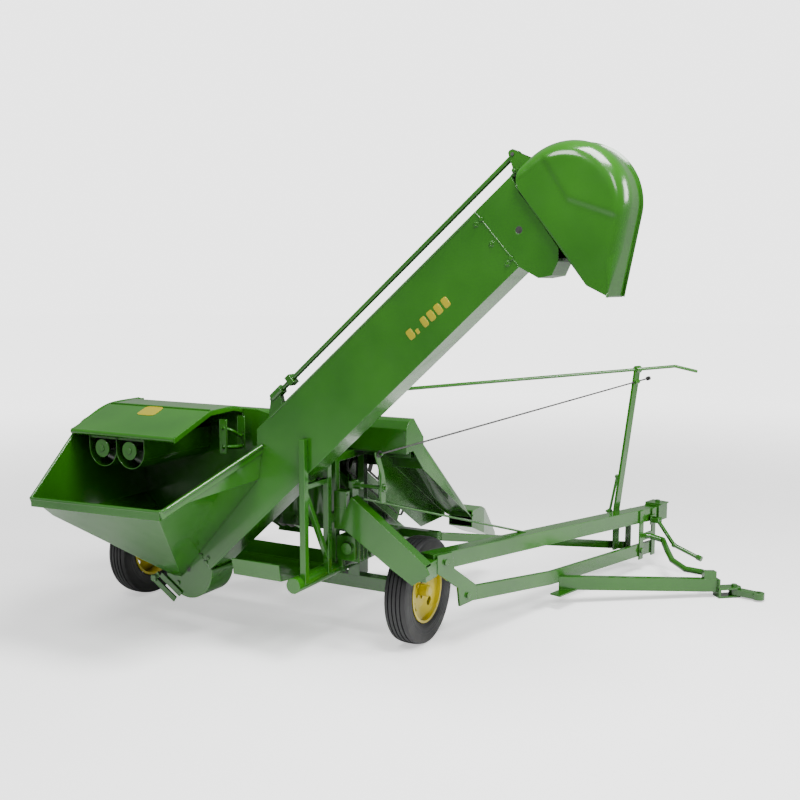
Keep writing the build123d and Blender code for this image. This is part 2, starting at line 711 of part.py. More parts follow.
def make_spout_hood():
    x0, x1 = trunk_rear - hood_side_gap, trunk_front + hood_side_gap
    hood = extrude(Plane.YZ.offset(x0) * hood_outline(0), amount=x1 - x0)
    inner = extrude(Plane.YZ.offset(x0 + sheet) * hood_outline(sheet), amount=x1 - x0 - 2 * sheet)
    hood = hood - inner
    ear_x = (trunk_rear + trunk_front) / 2
    py, pz = hood_pivot
    ear = plate_yz([(py - 60, pz + 2), (py - 20, pz - 20), (py + 20, pz - 16), (ear_pin[0] + 24, ear_pin[1] + 8),
                    (ear_pin[0] - 10, ear_pin[1] + 24), (ear_pin[0] - 24, ear_pin[1] + 8), (py - 96, pz + 64)],
                   ear_x - 34, ear_x - 24)
    ear += Pos(58, 0, 0) * ear
    ear += rod((ear_x - 34, *ear_pin), (ear_x + 34, *ear_pin), 20)
    knuckles = Part()
    for a, b in ((x0 + 60, x0 + 100), (x1 - 100, x1 - 60)):
        knuckles += rod((a, py, pz), (b, py, pz), 34)
    hood += ear + knuckles
    return hood - rod((x0 - 10, py, pz), (x1 + 10, py, pz), 16 + 2 * running)


def make_hood_hinge():
    """Bracket and pin on top of the head casing."""
    py, pz = hood_pivot
    x0, x1 = trunk_rear - hood_side_gap, trunk_front + hood_side_gap
    hinge = rod((x0 + 50, py, pz), (x1 - 50, py, pz), 16)
    for a, b in ((x0 + 100.5, x0 + 120.5), (x1 - 120.5, x1 - 100.5)):
        foot = [(-2099, trunk_top(-2099)), (py - 10, pz - 8), (py - 10, pz + 9), (py + 12, pz + 9),
                (-2040, trunk_top(-2040) + 20), (-2040, trunk_top(-2040))]
        hinge += plate_yz(foot, a, b)
    return hinge


def rod_way():
    start, end = Vector(0, *lift_rod_low), Vector(0, *ear_pin)
    return (end - start).normalized()


lift_rod_low = (-470.0, 1700.0)
eye_play = 7.0               # the hood's pin travels on an arc inside the rod's eye


def make_lift_rod():
    x = (trunk_rear + trunk_front) / 2
    way = rod_way()
    end = Vector(x, *ear_pin) - way * 4
    low = Vector(x, *lift_rod_low) - way * 60
    shaft = rod(tuple(low), tuple(Vector(x, *ear_pin) - way * 20), lift_rod_diameter - 2)
    eye = rod((x - 18, *ear_pin), (x + 18, *ear_pin), 50)
    nut_at = Vector(x, *lift_rod_low) + way * 130
    nut = extrude(plane_along(tuple(nut_at), tuple(nut_at + way * 46)) * Rectangle(64, 64), amount=40)
    shaft = shaft + eye + nut
    return shaft - rod((x - 30, *ear_pin), (x + 30, *ear_pin), 20 + 2 * eye_play)


def make_rod_bracket():
    """Sleeve that guides the lift rod, on a plate bolted to the trunk's top."""
    x = (trunk_rear + trunk_front) / 2
    way = rod_way()
    centre = Vector(x, *lift_rod_low)
    start = tuple(centre - way * 40)
    end = tuple(centre + way * 60)
    sleeve = rod(start, end, 64)
    y0, y1 = lift_rod_low[0] - 30, lift_rod_low[0] + 34
    foot = plate_yz([(y1 + 30, trunk_top(y1 + 30)), (y1, lift_rod_low[1]), (y0, lift_rod_low[1] + 20),
                     (y0 - 30, trunk_top(y0 - 30))], x - 20, x + 20)
    foot -= plate_yz([(600, trunk_top(600)), (-1000, trunk_top(-1000)), (-1000, 0), (600, 0)], x - 50, x + 50)
    return sleeve + foot - rod(tuple(centre - way * 80), tuple(centre + way * 120), lift_rod_diameter - 2 + 2 * running)


# ---------------- supports of the trunk ----------------
def make_truss():
    y0, y1 = -775.0, -735.0
    rear_leg = block(trunk_rear - 42, trunk_rear, y0, y1, rail_height, 1448)
    front_leg = block(trunk_front, trunk_front + 42, y0, y1, rail_height, 1300)
    tie = block(trunk_rear, trunk_front, y0 + 5, y1 - 5, 1130, 1160)
    brace = bar((trunk_rear - 21, (y0 + y1) / 2, 1130), (trunk_front + 21, (y0 + y1) / 2, 620), 30, 30)
    brace -= block(trunk_rear - 500, trunk_rear, y0, y1, 0, 2000) + block(trunk_front, 0, y0, y1, 0, 2000)
    to_body = block(trunk_front + 42, rear_post_x, y0, y1, 860, 920)
    return rear_leg + front_leg + tie + brace + to_body - both_rails(fit)


def make_channel():
    """Channel that carries the hitch outside the right wheel."""
    top = [(-905.0, 1039.0), (beam_y - 70, 656.0)]
    outline = [(-775, 960), (-870, 960), top[0], top[1], (beam_y - 100, 600), (beam_y + 21, 514),
               (beam_y + 157, 592), (-850, 820), (-775, 820)]
    x0, x1 = channel_x, channel_x + 80
    channel = plate_yz(outline, x0, x0 + 10)
    channel += bar((x0 + 40, top[0][0], top[0][1] - 5), (x0 + 40, top[1][0], top[1][1] - 5), 80, 10)
    channel += bar((x0 + 40, -850, 825), (x0 + 40, beam_y + 157, 597), 80, 10)
    channel += block(x0, x1, -785, -775, 820, 960)
    channel -= block(-800, 0, -775, -600, 0, 2000)
    return channel


# ---------------- hitch (made in a frame whose X runs under the beam) ----------------
def hitch_frame():
    heading = math.degrees(math.atan2(beam_end[1] - beam_start[1], beam_end[0] - beam_start[0]))
    return Pos(beam_start[0], beam_start[1], 0) * Rot(0, 0, heading)


beam_run = math.hypot(beam_end[0] - beam_start[0], beam_end[1] - beam_start[1])
half_beam = beam_size / 2
strap_x = (2668.0, 2873.0)
strap_width = 60.0
post_x = 2472.0
arm_line = [(309.0, 350.0), (1350.0, 235.0), (2900.0, 175.0)]
arm_height = 100.0
drawbar_size = (50.0, 100.0)
drawbar_rear = (1440.0, -20.0, 175.0)
drawbar_front = (2450.0, -832.0, 96.0)
tongue_turn = -49.0
clevis_gap = 50.0
cap_thickness = 12.0


def beam_centre(x):
    return beam_start[2] + (beam_end[2] - beam_start[2]) * x / beam_run


def beam_shape(extra):
    rise = half_beam + extra
    x0, x1 = -extra, beam_run + extra
    outline = [(x0, beam_centre(x0) + rise), (x1, beam_centre(x1) + rise), (x1, beam_centre(x1) - rise),
               (x0, beam_centre(x0) - rise)]
    return plate_xz(outline, -half_beam - extra, half_beam + extra)


def make_beam():
    return hitch_frame() * (beam_shape(0) - beam_shape(-6))


def make_pivot_block():
    """Casting between the channel's outer end and the beam."""
    casting = block(channel_x + 10, channel_x + 230, beam_y - 70, beam_y + 80, 545, 655)
    link_slot = block(20 - fit, 300, -half_beam - 16 - fit, 0, 480, 700)
    link_slot += block(20 - fit, 300, -half_beam - 60, -half_beam - 16, 590, 700)
    casting = casting - hitch_frame() * (beam_shape(fit) + link_slot)
    return casting - on_channel_flange()


def on_channel_flange():
    return block(channel_x, channel_x + 82, beam_y - 75, beam_y + 90, 638, 900)


def make_link():
    """Bent plate from the beam's side down to the lower arm."""
    outline = [(20, 680), (170, 672), (190, 560), (420, 400), (430, 300), (250, 290), (230, 420), (20, 560)]
    link = plate_xz(outline, -half_beam - 16, -half_beam)
    link += rod((100, -half_beam - 30, 620), (100, -half_beam - 16, 620), 40)
    link += rod((330, -half_beam - 30, 348), (330, -half_beam - 16, 348), 40)
    return hitch_frame() * link


def arm_outline(offset):
    return [(x, z + offset) for x, z in arm_line]


def make_lower_arm():
    half = arm_height / 2
    arm = plate_xz(arm_outline(half) + arm_outline(-half)[::-1], -half_beam, 30 - half_beam)
    for x, z in ((700, 307), (1000, 274), (1600, 225), (2050, 208)):
        arm += block(x - 24, x + 24, 30 - half_beam, 58 - half_beam, z - 30, z + 30)
    return hitch_frame() * arm


def make_straps():
    """Two outer plates joined by a tie, one inner plate and a cross pin under the beam."""
    y = -half_beam
    straps = Part()
    for x in strap_x:
        top = beam_centre(x) + half_beam - 4
        straps += block(x - strap_width / 2, x + strap_width / 2, y - 12, y, 108, top)
    straps += block(strap_x[0], strap_x[1], y - 12, y, 262, 322)
    x = strap_x[0]
    straps += block(x - 40, x + 40, -y, -y + 12, 120, beam_centre(x) + half_beam - 4)
    straps += rod((x, y - 26, 182), (x, y - 12, 182), 46)
    straps += rod((x, 30 - half_beam, 182), (x, -y, 182), 36)
    return hitch_frame() * straps


def make_end_block():
    z = beam_centre(beam_run)
    seat = z + half_beam + 13
    body = block(beam_run - 60, beam_run + 90, -half_beam - 12, half_beam + 12, z - half_beam - 11, seat)
    body -= beam_shape(fit)
    body += block(beam_run - 40, beam_run + 100, -half_beam - 20, half_beam + 20, seat, seat + cap_thickness)
    body += rod((beam_run + 40, 0, seat + cap_thickness), (beam_run + 40, 0, seat + cap_thickness + 16), 40)
    return hitch_frame() * body


def make_inner_arm():
    start = hitch_frame().inverse() * Pos(rail_front, -1030, 578)
    p = start.position
    q = (strap_x[0], half_beam + 60, 210)
    arm = bar((p.X - 60, p.Y, p.Z), (q[0] + 30, q[1] - 60, q[2] - 10), 30, 60)
    arm -= beyond((0, half_beam + 12, 0), (0, -1, 0))
    placed = hitch_frame() * arm
    return placed - block(0, rail_front, -2000, 2000, 0, 2000)


def drawbar_place():
    """Frame at the drawbar's front end: X forwards along it, level."""
    dx, dy = drawbar_front[0] - drawbar_rear[0], drawbar_front[1] - drawbar_rear[1]
    heading = math.degrees(math.atan2(dy, dx))
    return hitch_frame() * Pos(drawbar_front[0], drawbar_front[1], 0) * Rot(0, 0, heading)


def make_drawbar():
    dx, dy = drawbar_front[0] - drawbar_rear[0], drawbar_front[1] - drawbar_rear[1]
    length = math.hypot(dx, dy)
    rise = drawbar_rear[2] - drawbar_front[2]
    half = drawbar_size[1] / 2
    outline = [(-length, drawbar_front[2] + rise + half), (0, drawbar_front[2] + half),
               (0, drawbar_front[2] - half), (-length, drawbar_front[2] + rise - half)]
    width = drawbar_size[0] / 2
    body = drawbar_place() * plate_xz(outline, -width, width)
    lap = block(1330, 1560, -half_beam - 90, -half_beam, 112, 124)
    body -= hitch_frame() * beyond((0, -half_beam, 0), (0, 1, 0))
    return body + hitch_frame() * lap


def make_clevis():
    """Fork for the tongue; its lower plate stands on the ground."""
    low = 14.0
    high = low + clevis_gap
    fork = Part()
    for z in (0, high):
        plate = block(0, 200, -50, 50, z, z + 14)
        plate = fillet([e for e in plate.edges().filter_by(Axis.Z) if e.center().X > 100], 45)
        fork += plate
    fork += block(0, 20, -50, 50, low, high)
    fork += block(0, 16, -40, 40, high + 14, drawbar_front[2] + 50)
    fork += rod((150, 0, low), (150, 0, high), 28)
    fork += rod((150, 0, high + 14), (150, 0, high + 30), 44)
    return drawbar_place() * fork


def make_tongue():
    """Swivelling hitch tongue on the clevis pin."""
    thick = clevis_gap - 1.0
    z = 14.5
    tongue = block(0, 190, -32, 32, z, z + thick) + rod((0, 0, z), (0, 0, z + thick), 84)
    tongue += rod((190, 0, z), (190, 0, z + thick), 90)
    tongue -= rod((190, 0, 0), (190, 0, 100), 34)
    tongue -= rod((0, 0, 0), (0, 0, 100), 28 + 2 * running)
    return drawbar_place() * Pos(150, 0, 0) * Rot(0, 0, tongue_turn) * tongue


def chain_of_rods(points, diameter):
    shape = Part()
    for p, q in zip(points, points[1:]):
        shape += rod(p, q, diameter)
    for p in points[1:-1]:
        shape += Pos(*p) * Sphere(diameter / 2)
    return shape


def to_hitch(point):
    spot = hitch_frame().inverse() * Pos(*point)
    return spot.position.X, spot.position.Y, spot.position.Z


def make_pipe_brace():
    """Bent pipe from the straps' tie to the front of the drawbar."""
    reach = [(2420, 720, 292), (2437, 780, 290), (2431, 885, 270), (2240, 964, 240), (2066, 1045, 210),
             (1934, 1177, 188), (1915, 1320, 186)]
    points = [(x, beam_y - out, z) for x, out, z in reach]
    brace = chain_of_rods(points, 48)
    brace -= hitch_frame() * beyond((0, -half_beam - 12, 0), (0, 1, 0))
    foot = drawbar_place() * plate_xz([(-110, drawbar_top(-110)), (-10, drawbar_top(-10)),
                                       (-10, drawbar_top(-10) + 60), (-110, drawbar_top(-110) + 60)], -25, 25)
    return brace + foot


def drawbar_top(x):
    dx, dy = drawbar_front[0] - drawbar_rear[0], drawbar_front[1] - drawbar_rear[1]
    slope = (drawbar_rear[2] - drawbar_front[2]) / math.hypot(dx, dy)
    return drawbar_front[2] + drawbar_size[1] / 2 - slope * x


handle_pivot = (2842.0, -118.0, 420.0)


def make_handle_bracket():
    """Two lugs and a pin on the outer face of the front strap."""
    x, y, z = handle_pivot
    face = -half_beam - 12
    bracket = block(x - 40, x + 40, face - 10, face, z - 40, z + 40)
    for side in (-1, 1):
        lug = block(x + side * 28 - 6, x + side * 28 + 6, y - 22, face - 10, z - 20, z + 20)
        bracket += lug
    bracket += rod((x - 34, y, z), (x + 34, y, z), 16)
    return hitch_frame() * bracket


def make_handle_arm():
    x, y, z = handle_pivot
    mid = to_hitch((2388.0, beam_y - 987, 250.0))
    end = to_hitch((2361.0, beam_y - 1182, 180.0))
    arm = rod((x - 21, y, z), (x + 21, y, z), 44)
    arm += bar((x, y, z), mid, 24, 22)
    arm += rod(mid, end, 34) + Pos(*mid) * Sphere(22)
    arm += rod((end[0], end[1], end[2]), (end[0] - 2, end[1] - 40, end[2] - 10), 46)
    arm -= rod((x - 30, y, z), (x + 30, y, z), 16 + 2 * running)
    return hitch_frame() * arm


# ---------------- controls ----------------
bellcrank_pivot = (-300.0, -1085.0, 1098.0)
wire_eye = (-382.0, -1107.0, 1332.0)
wire_play = 8.0              # the bellcrank's pin travels on an arc inside the wire's eye
wire_end = (2144.0, beam_y - 698, 1622.0)
rod_rear = (-20.0, -602.0, 1652.0)
rod_direction_to = (2143.0, beam_y - 706, 1722.0)


def along(p, q, distance_from_p):
    way = (Vector(*q) - Vector(*p)).normalized()
    return tuple(Vector(*p) + way * distance_from_p)


def make_control_post():
    y0 = half_beam
    post = block(post_x - 37, post_x + 37, y0, y0 + 20, 210, 560)
    post += bar((post_x, y0 + 10, 556), (post_x, -95, post_height + 100), 74, 20)
    post = hitch_frame() * post
    for axis_from, axis_to, size in ((wire_eye, wire_end, wire_diameter),
                                     (rod_rear, rod_direction_to, control_rod_diameter)):
        span = distance(axis_from, axis_to)
        post += rod(along(axis_from, axis_to, span - 24), along(axis_from, axis_to, span + 24), size + 30)
    for axis_from, axis_to, size in ((wire_eye, wire_end, wire_diameter),
                                     (rod_rear, rod_direction_to, control_rod_diameter)):
        span = distance(axis_from, axis_to)
        post -= rod(along(axis_from, axis_to, span - 90), along(axis_from, axis_to, span + 90), size + 2 * running)
    return post + hitch_frame() * rod((post_x, y0 + 20, 520), (post_x, y0 + 108, 520), 20)


def make_small_lever():
    y = half_beam + 74
    lever = rod((post_x, y - 14, 520), (post_x, y + 14, 520), 44)
    lever += rod((post_x + 4, y, 530), (post_x + 108, y, 800), 22) + Pos(post_x + 108, y, 800) * Sphere(20)
    return hitch_frame() * (lever - rod((post_x, y - 20, 520), (post_x, y + 20, 520), 20 + 2 * running))


def make_control_rod():
    span = distance(rod_rear, rod_direction_to)
    rear, front = along(rod_rear, rod_direction_to, -160), along(rod_rear, rod_direction_to, span + 400)
    line = FilletPolyline(rear, front, (front[0] + 170, front[1] - 140, front[2] - 50), radius=grip_bend)
    return sweep(Plane(origin=line @ 0, z_dir=line % 0) * Circle(control_rod_diameter / 2), line)


def make_rod_guide():
    """Stand on the deck with the sleeve that guides the control rod."""
    x, y, z = rod_rear
    stand = block(x - 8, x + 22, y - 18, y + 18, deck_top, z)
    stand += block(x - 10, x + 26, y - 40, y + 40, deck_top, deck_top + 10)
    sleeve = rod(along(rod_rear, rod_direction_to, -40), along(rod_rear, rod_direction_to, 50),
                 control_rod_diameter + 26)
    hole = rod(along(rod_rear, rod_direction_to, -120), along(rod_rear, rod_direction_to, 120),
               control_rod_diameter + 2 * running)
    return stand + sleeve - hole


def make_bellcrank_bracket():
    """Stands on the channel's inner end and carries the bellcrank's pin."""
    x, y, z = bellcrank_pivot
    bracket = block(channel_x, channel_x + 90, -868, -775, 960, z - 30)
    bracket += block(x - 40, x + 36, -880, -850, 960, z + 30)
    bracket += rod((x, -850, z), (x, y - 26, z), 26) + rod((x, -880, z), (x, -930, z), 50)
    return bracket


def make_bellcrank():
    x, y, z = bellcrank_pivot
    lever = plate_xz([(x - 28, z - 95), (x + 22, z - 95), (x + 30, z + 20), (x + 4, z + 110),
                      (wire_eye[0] + 18, wire_eye[2] + 12), (wire_eye[0] - 18, wire_eye[2] + 12),
                      (wire_eye[0] - 16, wire_eye[2] - 14), (x - 30, z + 90), (x - 34, z + 10)], y - 6, y + 6)
    lever += rod((x, y - 16, z), (x, y + 16, z), 54)
    lever += rod((wire_eye[0], y - 6, wire_eye[2]), (wire_eye[0], y - 44, wire_eye[2]), 16)
    return lever - rod((x, y - 20, z), (x, y + 20, z), 26 + 2 * running)


def make_control_wire():
    x, y, z = wire_eye
    start = along(wire_eye, wire_end, 19)
    span = distance(wire_eye, wire_end)
    wire = rod(start, along(wire_eye, wire_end, span + 150), wire_diameter)
    wire += rod((x, y - 5, z), (x, y + 5, z), 46) - rod((x, y - 9, z), (x, y + 9, z), 16 + 2 * wire_play)
    wire += rod(along(wire_eye, wire_end, span + 150), along(wire_eye, wire_end, span + 176), 34)
    return wire


def make_beam_tie():
    """Flat bar from the bellcrank's bracket to the top of the beam."""
    x, y, z = bellcrank_pivot
    rear = (x, -870.0, z - 80)
    front = (hitch_frame() * Pos(1190, 0, beam_centre(1190) + 30)).position
    tie = bar(rear, (front.X, front.Y, front.Z), 46, 12)
    tie -= block(x - 60, x + 36, -960, -700, 700, 1400)
    return tie - hitch_frame() * beam_shape(fit)


def make_side_gearbox():
    box = block(-336, -112, -895, -752, 596, 760)
    box = fillet(box.edges().filter_by(Axis.X), 20)
    for x in (-300, -250, -200, -150):
        box += block(x, x + 10, -906, -752, 580, 745)
    feet = block(-325, -290, -790, -752, 540, 600) + block(-160, -125, -790, -752, 540, 600)
    box += rod((-336, -840, 680), (-360, -840, 680), 76)
    return box + feet - both_rails(fit)


def make_tension_bars():
    x0, x1 = trunk_rear - 12, trunk_rear
    plates = Part()
    for p, q in (((514, 392), (316, 262)), ((436, 420), (266, 306))):
        dy, dz = q[0] - p[0], q[1] - p[1]
        length = math.hypot(dy, dz)
        ny, nz = -dz / length * 20, dy / length * 20
        plates += plate_yz([(p[0] - ny, p[1] - nz), (q[0] - ny, q[1] - nz), (q[0] + ny, q[1] + nz),
                            (p[0] + ny, p[1] + nz)], x0, x1)
    plates += plate_yz([(462, 436), (530, 388), (510, 360), (440, 408)], x0, x1)
    plates += block(x0 - 16, x0, 470, 510, 372, 412)
    return plates


def make_bolts():
    """Bolts of one size that hold the trunk's joints and the hopper's flange."""
    bolts = Part()
    for y, z in ((46, 556), (84, 598), (-1930, 2755), (-2110, 2540)):
        bolts += rod((trunk_rear - 7, y, z), (trunk_rear, y, z), 24)
        bolts += rod((trunk_front, y, z), (trunk_front + 7, y, z), 24)
    bolts += rod((trunk_rear - 9, 291, 381), (trunk_rear, 291, 381), 30)
    return bolts


# ---------------- all pieces ----------------
def make_all():
    nodes = wheel_nodes()
    nodes.update(nodes_of_dividers())
    nodes.update(row_nodes())
    makers = {
        "axle_beam": make_axle_beam, "frame_tubes": make_rails, "body_frame": make_body_frame,
        "belly_pan": make_belly_pan, "deck_hood": make_deck_hood, "drive_gearbox": make_gearbox,
        "input_shaft": make_input_shaft, "hopper": make_hopper, "hopper_hood": make_hopper_hood,
        "hopper_bulkhead": make_bulkhead, "conveyor_troughs": make_troughs, "elevator_trunk": make_trunk,
        "elevator_boot": make_boot, "elevator_head": make_head, "elevator_chain": make_chain,
        "spout_hood": make_spout_hood, "lift_rod": make_lift_rod, "elevator_truss": make_truss,
        "channel_bracket": make_channel, "pivot_block": make_pivot_block, "hitch_beam": make_beam,
        "bent_link": make_link, "end_block": make_end_block, "tongue": make_tongue,
        "pipe_brace": make_pipe_brace, "handle_arm": make_handle_arm, "control_post": make_control_post,
        "small_lever": make_small_lever, "control_rod": make_control_rod, "bellcrank": make_bellcrank,
        "control_wire": make_control_wire, "beam_tie": make_beam_tie, "side_gearbox": make_side_gearbox,
    }
    grouped = {
        "spout_brackets": (make_hood_hinge, make_rod_bracket), "hitch_arms": (make_lower_arm, make_inner_arm),
        "hitch_straps": (make_straps, make_handle_bracket), "drawbar": (make_drawbar, make_clevis),
        "control_brackets": (make_rod_guide, make_bellcrank_bracket),
        "boot_fittings": (make_tension_bars, make_bolts),
    }
    for name, maker in makers.items():
        nodes[name] = maker()
    for name, pair in grouped.items():
        nodes[name] = pair[0]() + pair[1]()
    nodes["right_auger"] = make_auger(trough_y[0])
    nodes["left_auger"] = make_auger(trough_y[1])
    nodes["head_shaft"] = make_cross_shaft(head_y, head_z, 0, 36)
    nodes["boot_shaft"] = make_cross_shaft(boot_y, boot_z, 0, 60)
    return nodes


def shift_of(nodes):
    boxes = [shape.bounding_box() for shape in nodes.values()]
    low = [min(getattr(box.min, axis) for box in boxes) for axis in "XYZ"]
    high = [max(getattr(box.max, axis) for box in boxes) for axis in "XYZ"]
    return Pos(-(low[0] + high[0]) / 2, -(low[1] + high[1]) / 2, -low[2])


def write_all():
    os.makedirs("parts", exist_ok=True)
    nodes = make_all()
    move = shift_of(nodes)
    for name, shape in nodes.items():
        export_step(move * shape, f"parts/{name}.step")
    print(len(nodes), "pieces, moved by", tuple(move.position))


if __name__ == "__main__":
    write_all()
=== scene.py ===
import json
import math

import bpy
import numpy as np
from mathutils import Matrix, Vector


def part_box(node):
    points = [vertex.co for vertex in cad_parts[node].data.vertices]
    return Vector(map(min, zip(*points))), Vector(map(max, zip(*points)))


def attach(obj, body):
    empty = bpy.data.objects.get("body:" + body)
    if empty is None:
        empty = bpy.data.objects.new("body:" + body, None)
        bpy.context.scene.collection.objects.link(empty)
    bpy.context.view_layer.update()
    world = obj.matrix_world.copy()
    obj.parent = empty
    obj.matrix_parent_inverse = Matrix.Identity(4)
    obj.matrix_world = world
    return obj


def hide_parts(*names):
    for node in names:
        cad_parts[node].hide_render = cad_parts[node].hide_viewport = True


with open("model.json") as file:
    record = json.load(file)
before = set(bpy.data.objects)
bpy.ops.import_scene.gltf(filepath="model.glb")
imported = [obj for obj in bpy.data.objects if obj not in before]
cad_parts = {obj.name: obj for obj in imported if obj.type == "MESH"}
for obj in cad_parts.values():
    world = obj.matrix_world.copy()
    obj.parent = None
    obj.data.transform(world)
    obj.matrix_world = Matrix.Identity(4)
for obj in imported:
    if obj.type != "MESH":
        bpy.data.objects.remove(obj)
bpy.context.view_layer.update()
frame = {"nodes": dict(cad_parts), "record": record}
print("frame loaded,", len(frame["nodes"]), "pieces")

# Machine places are metres ahead of the axle, to its left and above the ground.
rightTyreBox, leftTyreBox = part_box("right_tyre"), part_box("left_tyre")
axlePlace = (np.array(rightTyreBox[0]) + rightTyreBox[1] + leftTyreBox[0] + leftTyreBox[1]) / 4
axlePlace[2] = 0.0


def onMachine(points):
    return np.asarray(points, float) + axlePlace


def toMachine(point):
    return np.asarray(point, float) - axlePlace


# A node's lowest and highest corners as machine places.
def boxOf(node):
    low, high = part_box(node)
    return toMachine(low), toMachine(high)


# A mesh on a body: faces are smooth, and edges above the sharp angle stay crisp.
def makeMesh(name, points, faces, material, body=None, smooth=True, sharpAngle=35):
    mesh = bpy.data.meshes.new(name)
    mesh.from_pydata(np.asarray(points, float).tolist(), [], [list(map(int, f)) for f in faces])
    mesh.update()
    piece = bpy.data.objects.new(name, mesh)
    bpy.context.scene.collection.objects.link(piece)
    mesh.materials.append(material)
    if smooth:
        mesh.polygons.foreach_set("use_smooth", [True] * len(mesh.polygons))
        mesh.set_sharp_from_angle(angle=math.radians(sharpAngle))
    if body:
        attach(piece, body)
    return piece


# Quads between neighbouring grid points; a wrapped way joins its last row to its first.
def gridFaces(rows, columns, wrapRows=False, wrapColumns=False):
    rowIndex = np.arange(rows if wrapRows else rows - 1)
    columnIndex = np.arange(columns if wrapColumns else columns - 1)
    r, c = np.meshgrid(rowIndex, columnIndex, indexing="ij")
    r2, c2 = (r + 1) % rows, (c + 1) % columns
    quads = np.stack([r * columns + c, r2 * columns + c, r2 * columns + c2, r * columns + c2], -1)
    return quads.reshape(-1, 4)


# A grid of points joined by quads, with a face across each end row where it is capped.
def makeSurface(name, grid, material, body, wrapRows=False, wrapColumns=False, flip=False,
                caps=False, **rest):
    rows, columns = grid.shape[:2]
    points = grid.reshape(-1, 3)
    faces = [list(f) for f in gridFaces(rows, columns, wrapRows, wrapColumns)]
    if caps:
        faces += [list(range(columns))[::-1], list(range((rows - 1) * columns, rows * columns))]
    if flip:
        faces = [f[::-1] for f in faces]
    return makeMesh(name, onMachine(points), faces, material, body, **rest)


# A closed outline carried straight along one way, between a low and a high place.
def makePrism(name, outline, low, high, material, body, across="y", **rest):
    outline = np.asarray(outline, float)
    u, v = outline.T
    area = np.sum(u * np.roll(v, -1) - v * np.roll(u, -1))      # twice the signed area
    if (area > 0) == (across == "y"):
        outline = outline[::-1]
    order = {"x": (2, 0, 1), "y": (0, 2, 1), "z": (0, 1, 2)}[across]
    rows = []
    for place in (low, high):
        flat = np.column_stack([outline, np.full(len(outline), place)])
        rows.append(flat[:, order])
    return makeSurface(name, np.array(rows), material, body, wrapColumns=True, caps=True,
                       flip=True, **rest)


# A smooth curve through the points: each span is a Catmull-Rom cubic.
def finePath(points, perSpan=8):
    p = np.asarray(points, float)
    p = np.vstack([2 * p[0] - p[1], p, 2 * p[-1] - p[-2]])
    t = np.linspace(0, 1, perSpan, endpoint=False)[:, None]
    spans = []
    for a, b, c, d in zip(p, p[1:], p[2:], p[3:]):
        spans.append(0.5 * (2 * b + (c - a) * t + (2 * a - 5 * b + 4 * c - d) * t ** 2
                            + (3 * b - a - 3 * c + d) * t ** 3))
    return np.vstack(spans + [p[-2][None]])


# A round section carried along a path, its frame turned as little as possible.
def makeTube(name, path, radius, material, body, sides=16, **rest):
    path = np.asarray(path, float)
    ways = np.gradient(path, axis=0)
    ways /= np.linalg.norm(ways, axis=1)[:, None]
    side = np.cross(ways[0], [0, 0, 1.0])
    if np.linalg.norm(side) < 1e-4:                # the path starts straight up
        side = np.array([1.0, 0, 0])
    sideways = []
    for way in ways:
        side = side - way * (side @ way)
        side = side / np.linalg.norm(side)
        sideways.append(side)
    sideways = np.array(sideways)
    upways = np.cross(sideways, ways)
    angle = np.linspace(0, 2 * np.pi, sides, endpoint=False)
    radii = np.broadcast_to(radius, len(path))[:, None, None]
    c, s = np.cos(angle)[None, :, None], np.sin(angle)[None, :, None]
    ring = sideways[:, None] * c + upways[:, None] * s
    return makeSurface(name, path[:, None] + radii * ring, material, body, wrapColumns=True, caps=True,
                       flip=True, **rest)


# A modifier of one kind with its settings.
def addModifier(piece, kind, **values):
    modifier = piece.modifiers.new(kind.title(), kind)
    for key, value in values.items():
        setattr(modifier, key, value)
    return modifier


# A material with its shader and the object's own coordinates, ready for more nodes.
def newMaterial(name):
    material = bpy.data.materials.new(name)
    material.use_nodes = True
    nodes, links = material.node_tree.nodes, material.node_tree.links
    shader = nodes["Principled BSDF"]
    where = nodes.new("ShaderNodeTexCoord")
    return material, nodes, links, shader, where


# Fractal noise on the object's coordinates; its scale is in waves per metre.
def noiseNode(nodes, links, where, scale, detail=4.0, roughness=0.5):
    noise = nodes.new("ShaderNodeTexNoise")
    noise.inputs["Scale"].default_value = scale
    noise.inputs["Detail"].default_value = detail
    noise.inputs["Roughness"].default_value = roughness
    links.new(where.outputs["Object"], noise.inputs["Vector"])
    return noise


# Colours at places along the source, blended between them.
def rampNode(nodes, links, source, stops):
    ramp = nodes.new("ShaderNodeValToRGB")
    while len(ramp.color_ramp.elements) < len(stops):
        ramp.color_ramp.elements.new(0.5)
    for element, (place, colour) in zip(ramp.color_ramp.elements, stops):
        element.position = place
        element.color = (*colour, 1) if len(colour) == 3 else colour
    links.new(source, ramp.inputs["Fac"])
    return ramp


# The source from one range onto another, held at its ends.
def rangeNode(nodes, links, source, low, high, fromLow=0.3, fromHigh=0.7):
    node = nodes.new("ShaderNodeMapRange")
    node.inputs["From Min"].default_value = fromLow
    node.inputs["From Max"].default_value = fromHigh
    node.inputs["To Min"].default_value = low
    node.inputs["To Max"].default_value = high
    links.new(source, node.inputs["Value"])
    return node


# A height in metres that tilts the surface, on top of the bump before it.
def bumpNode(nodes, links, source, distance, strength, before=None):
    bump = nodes.new("ShaderNodeBump")
    bump.inputs["Distance"].default_value = distance
    bump.inputs["Strength"].default_value = strength
    links.new(source, bump.inputs["Height"])
    if before:
        links.new(before.outputs["Normal"], bump.inputs["Normal"])
    return bump


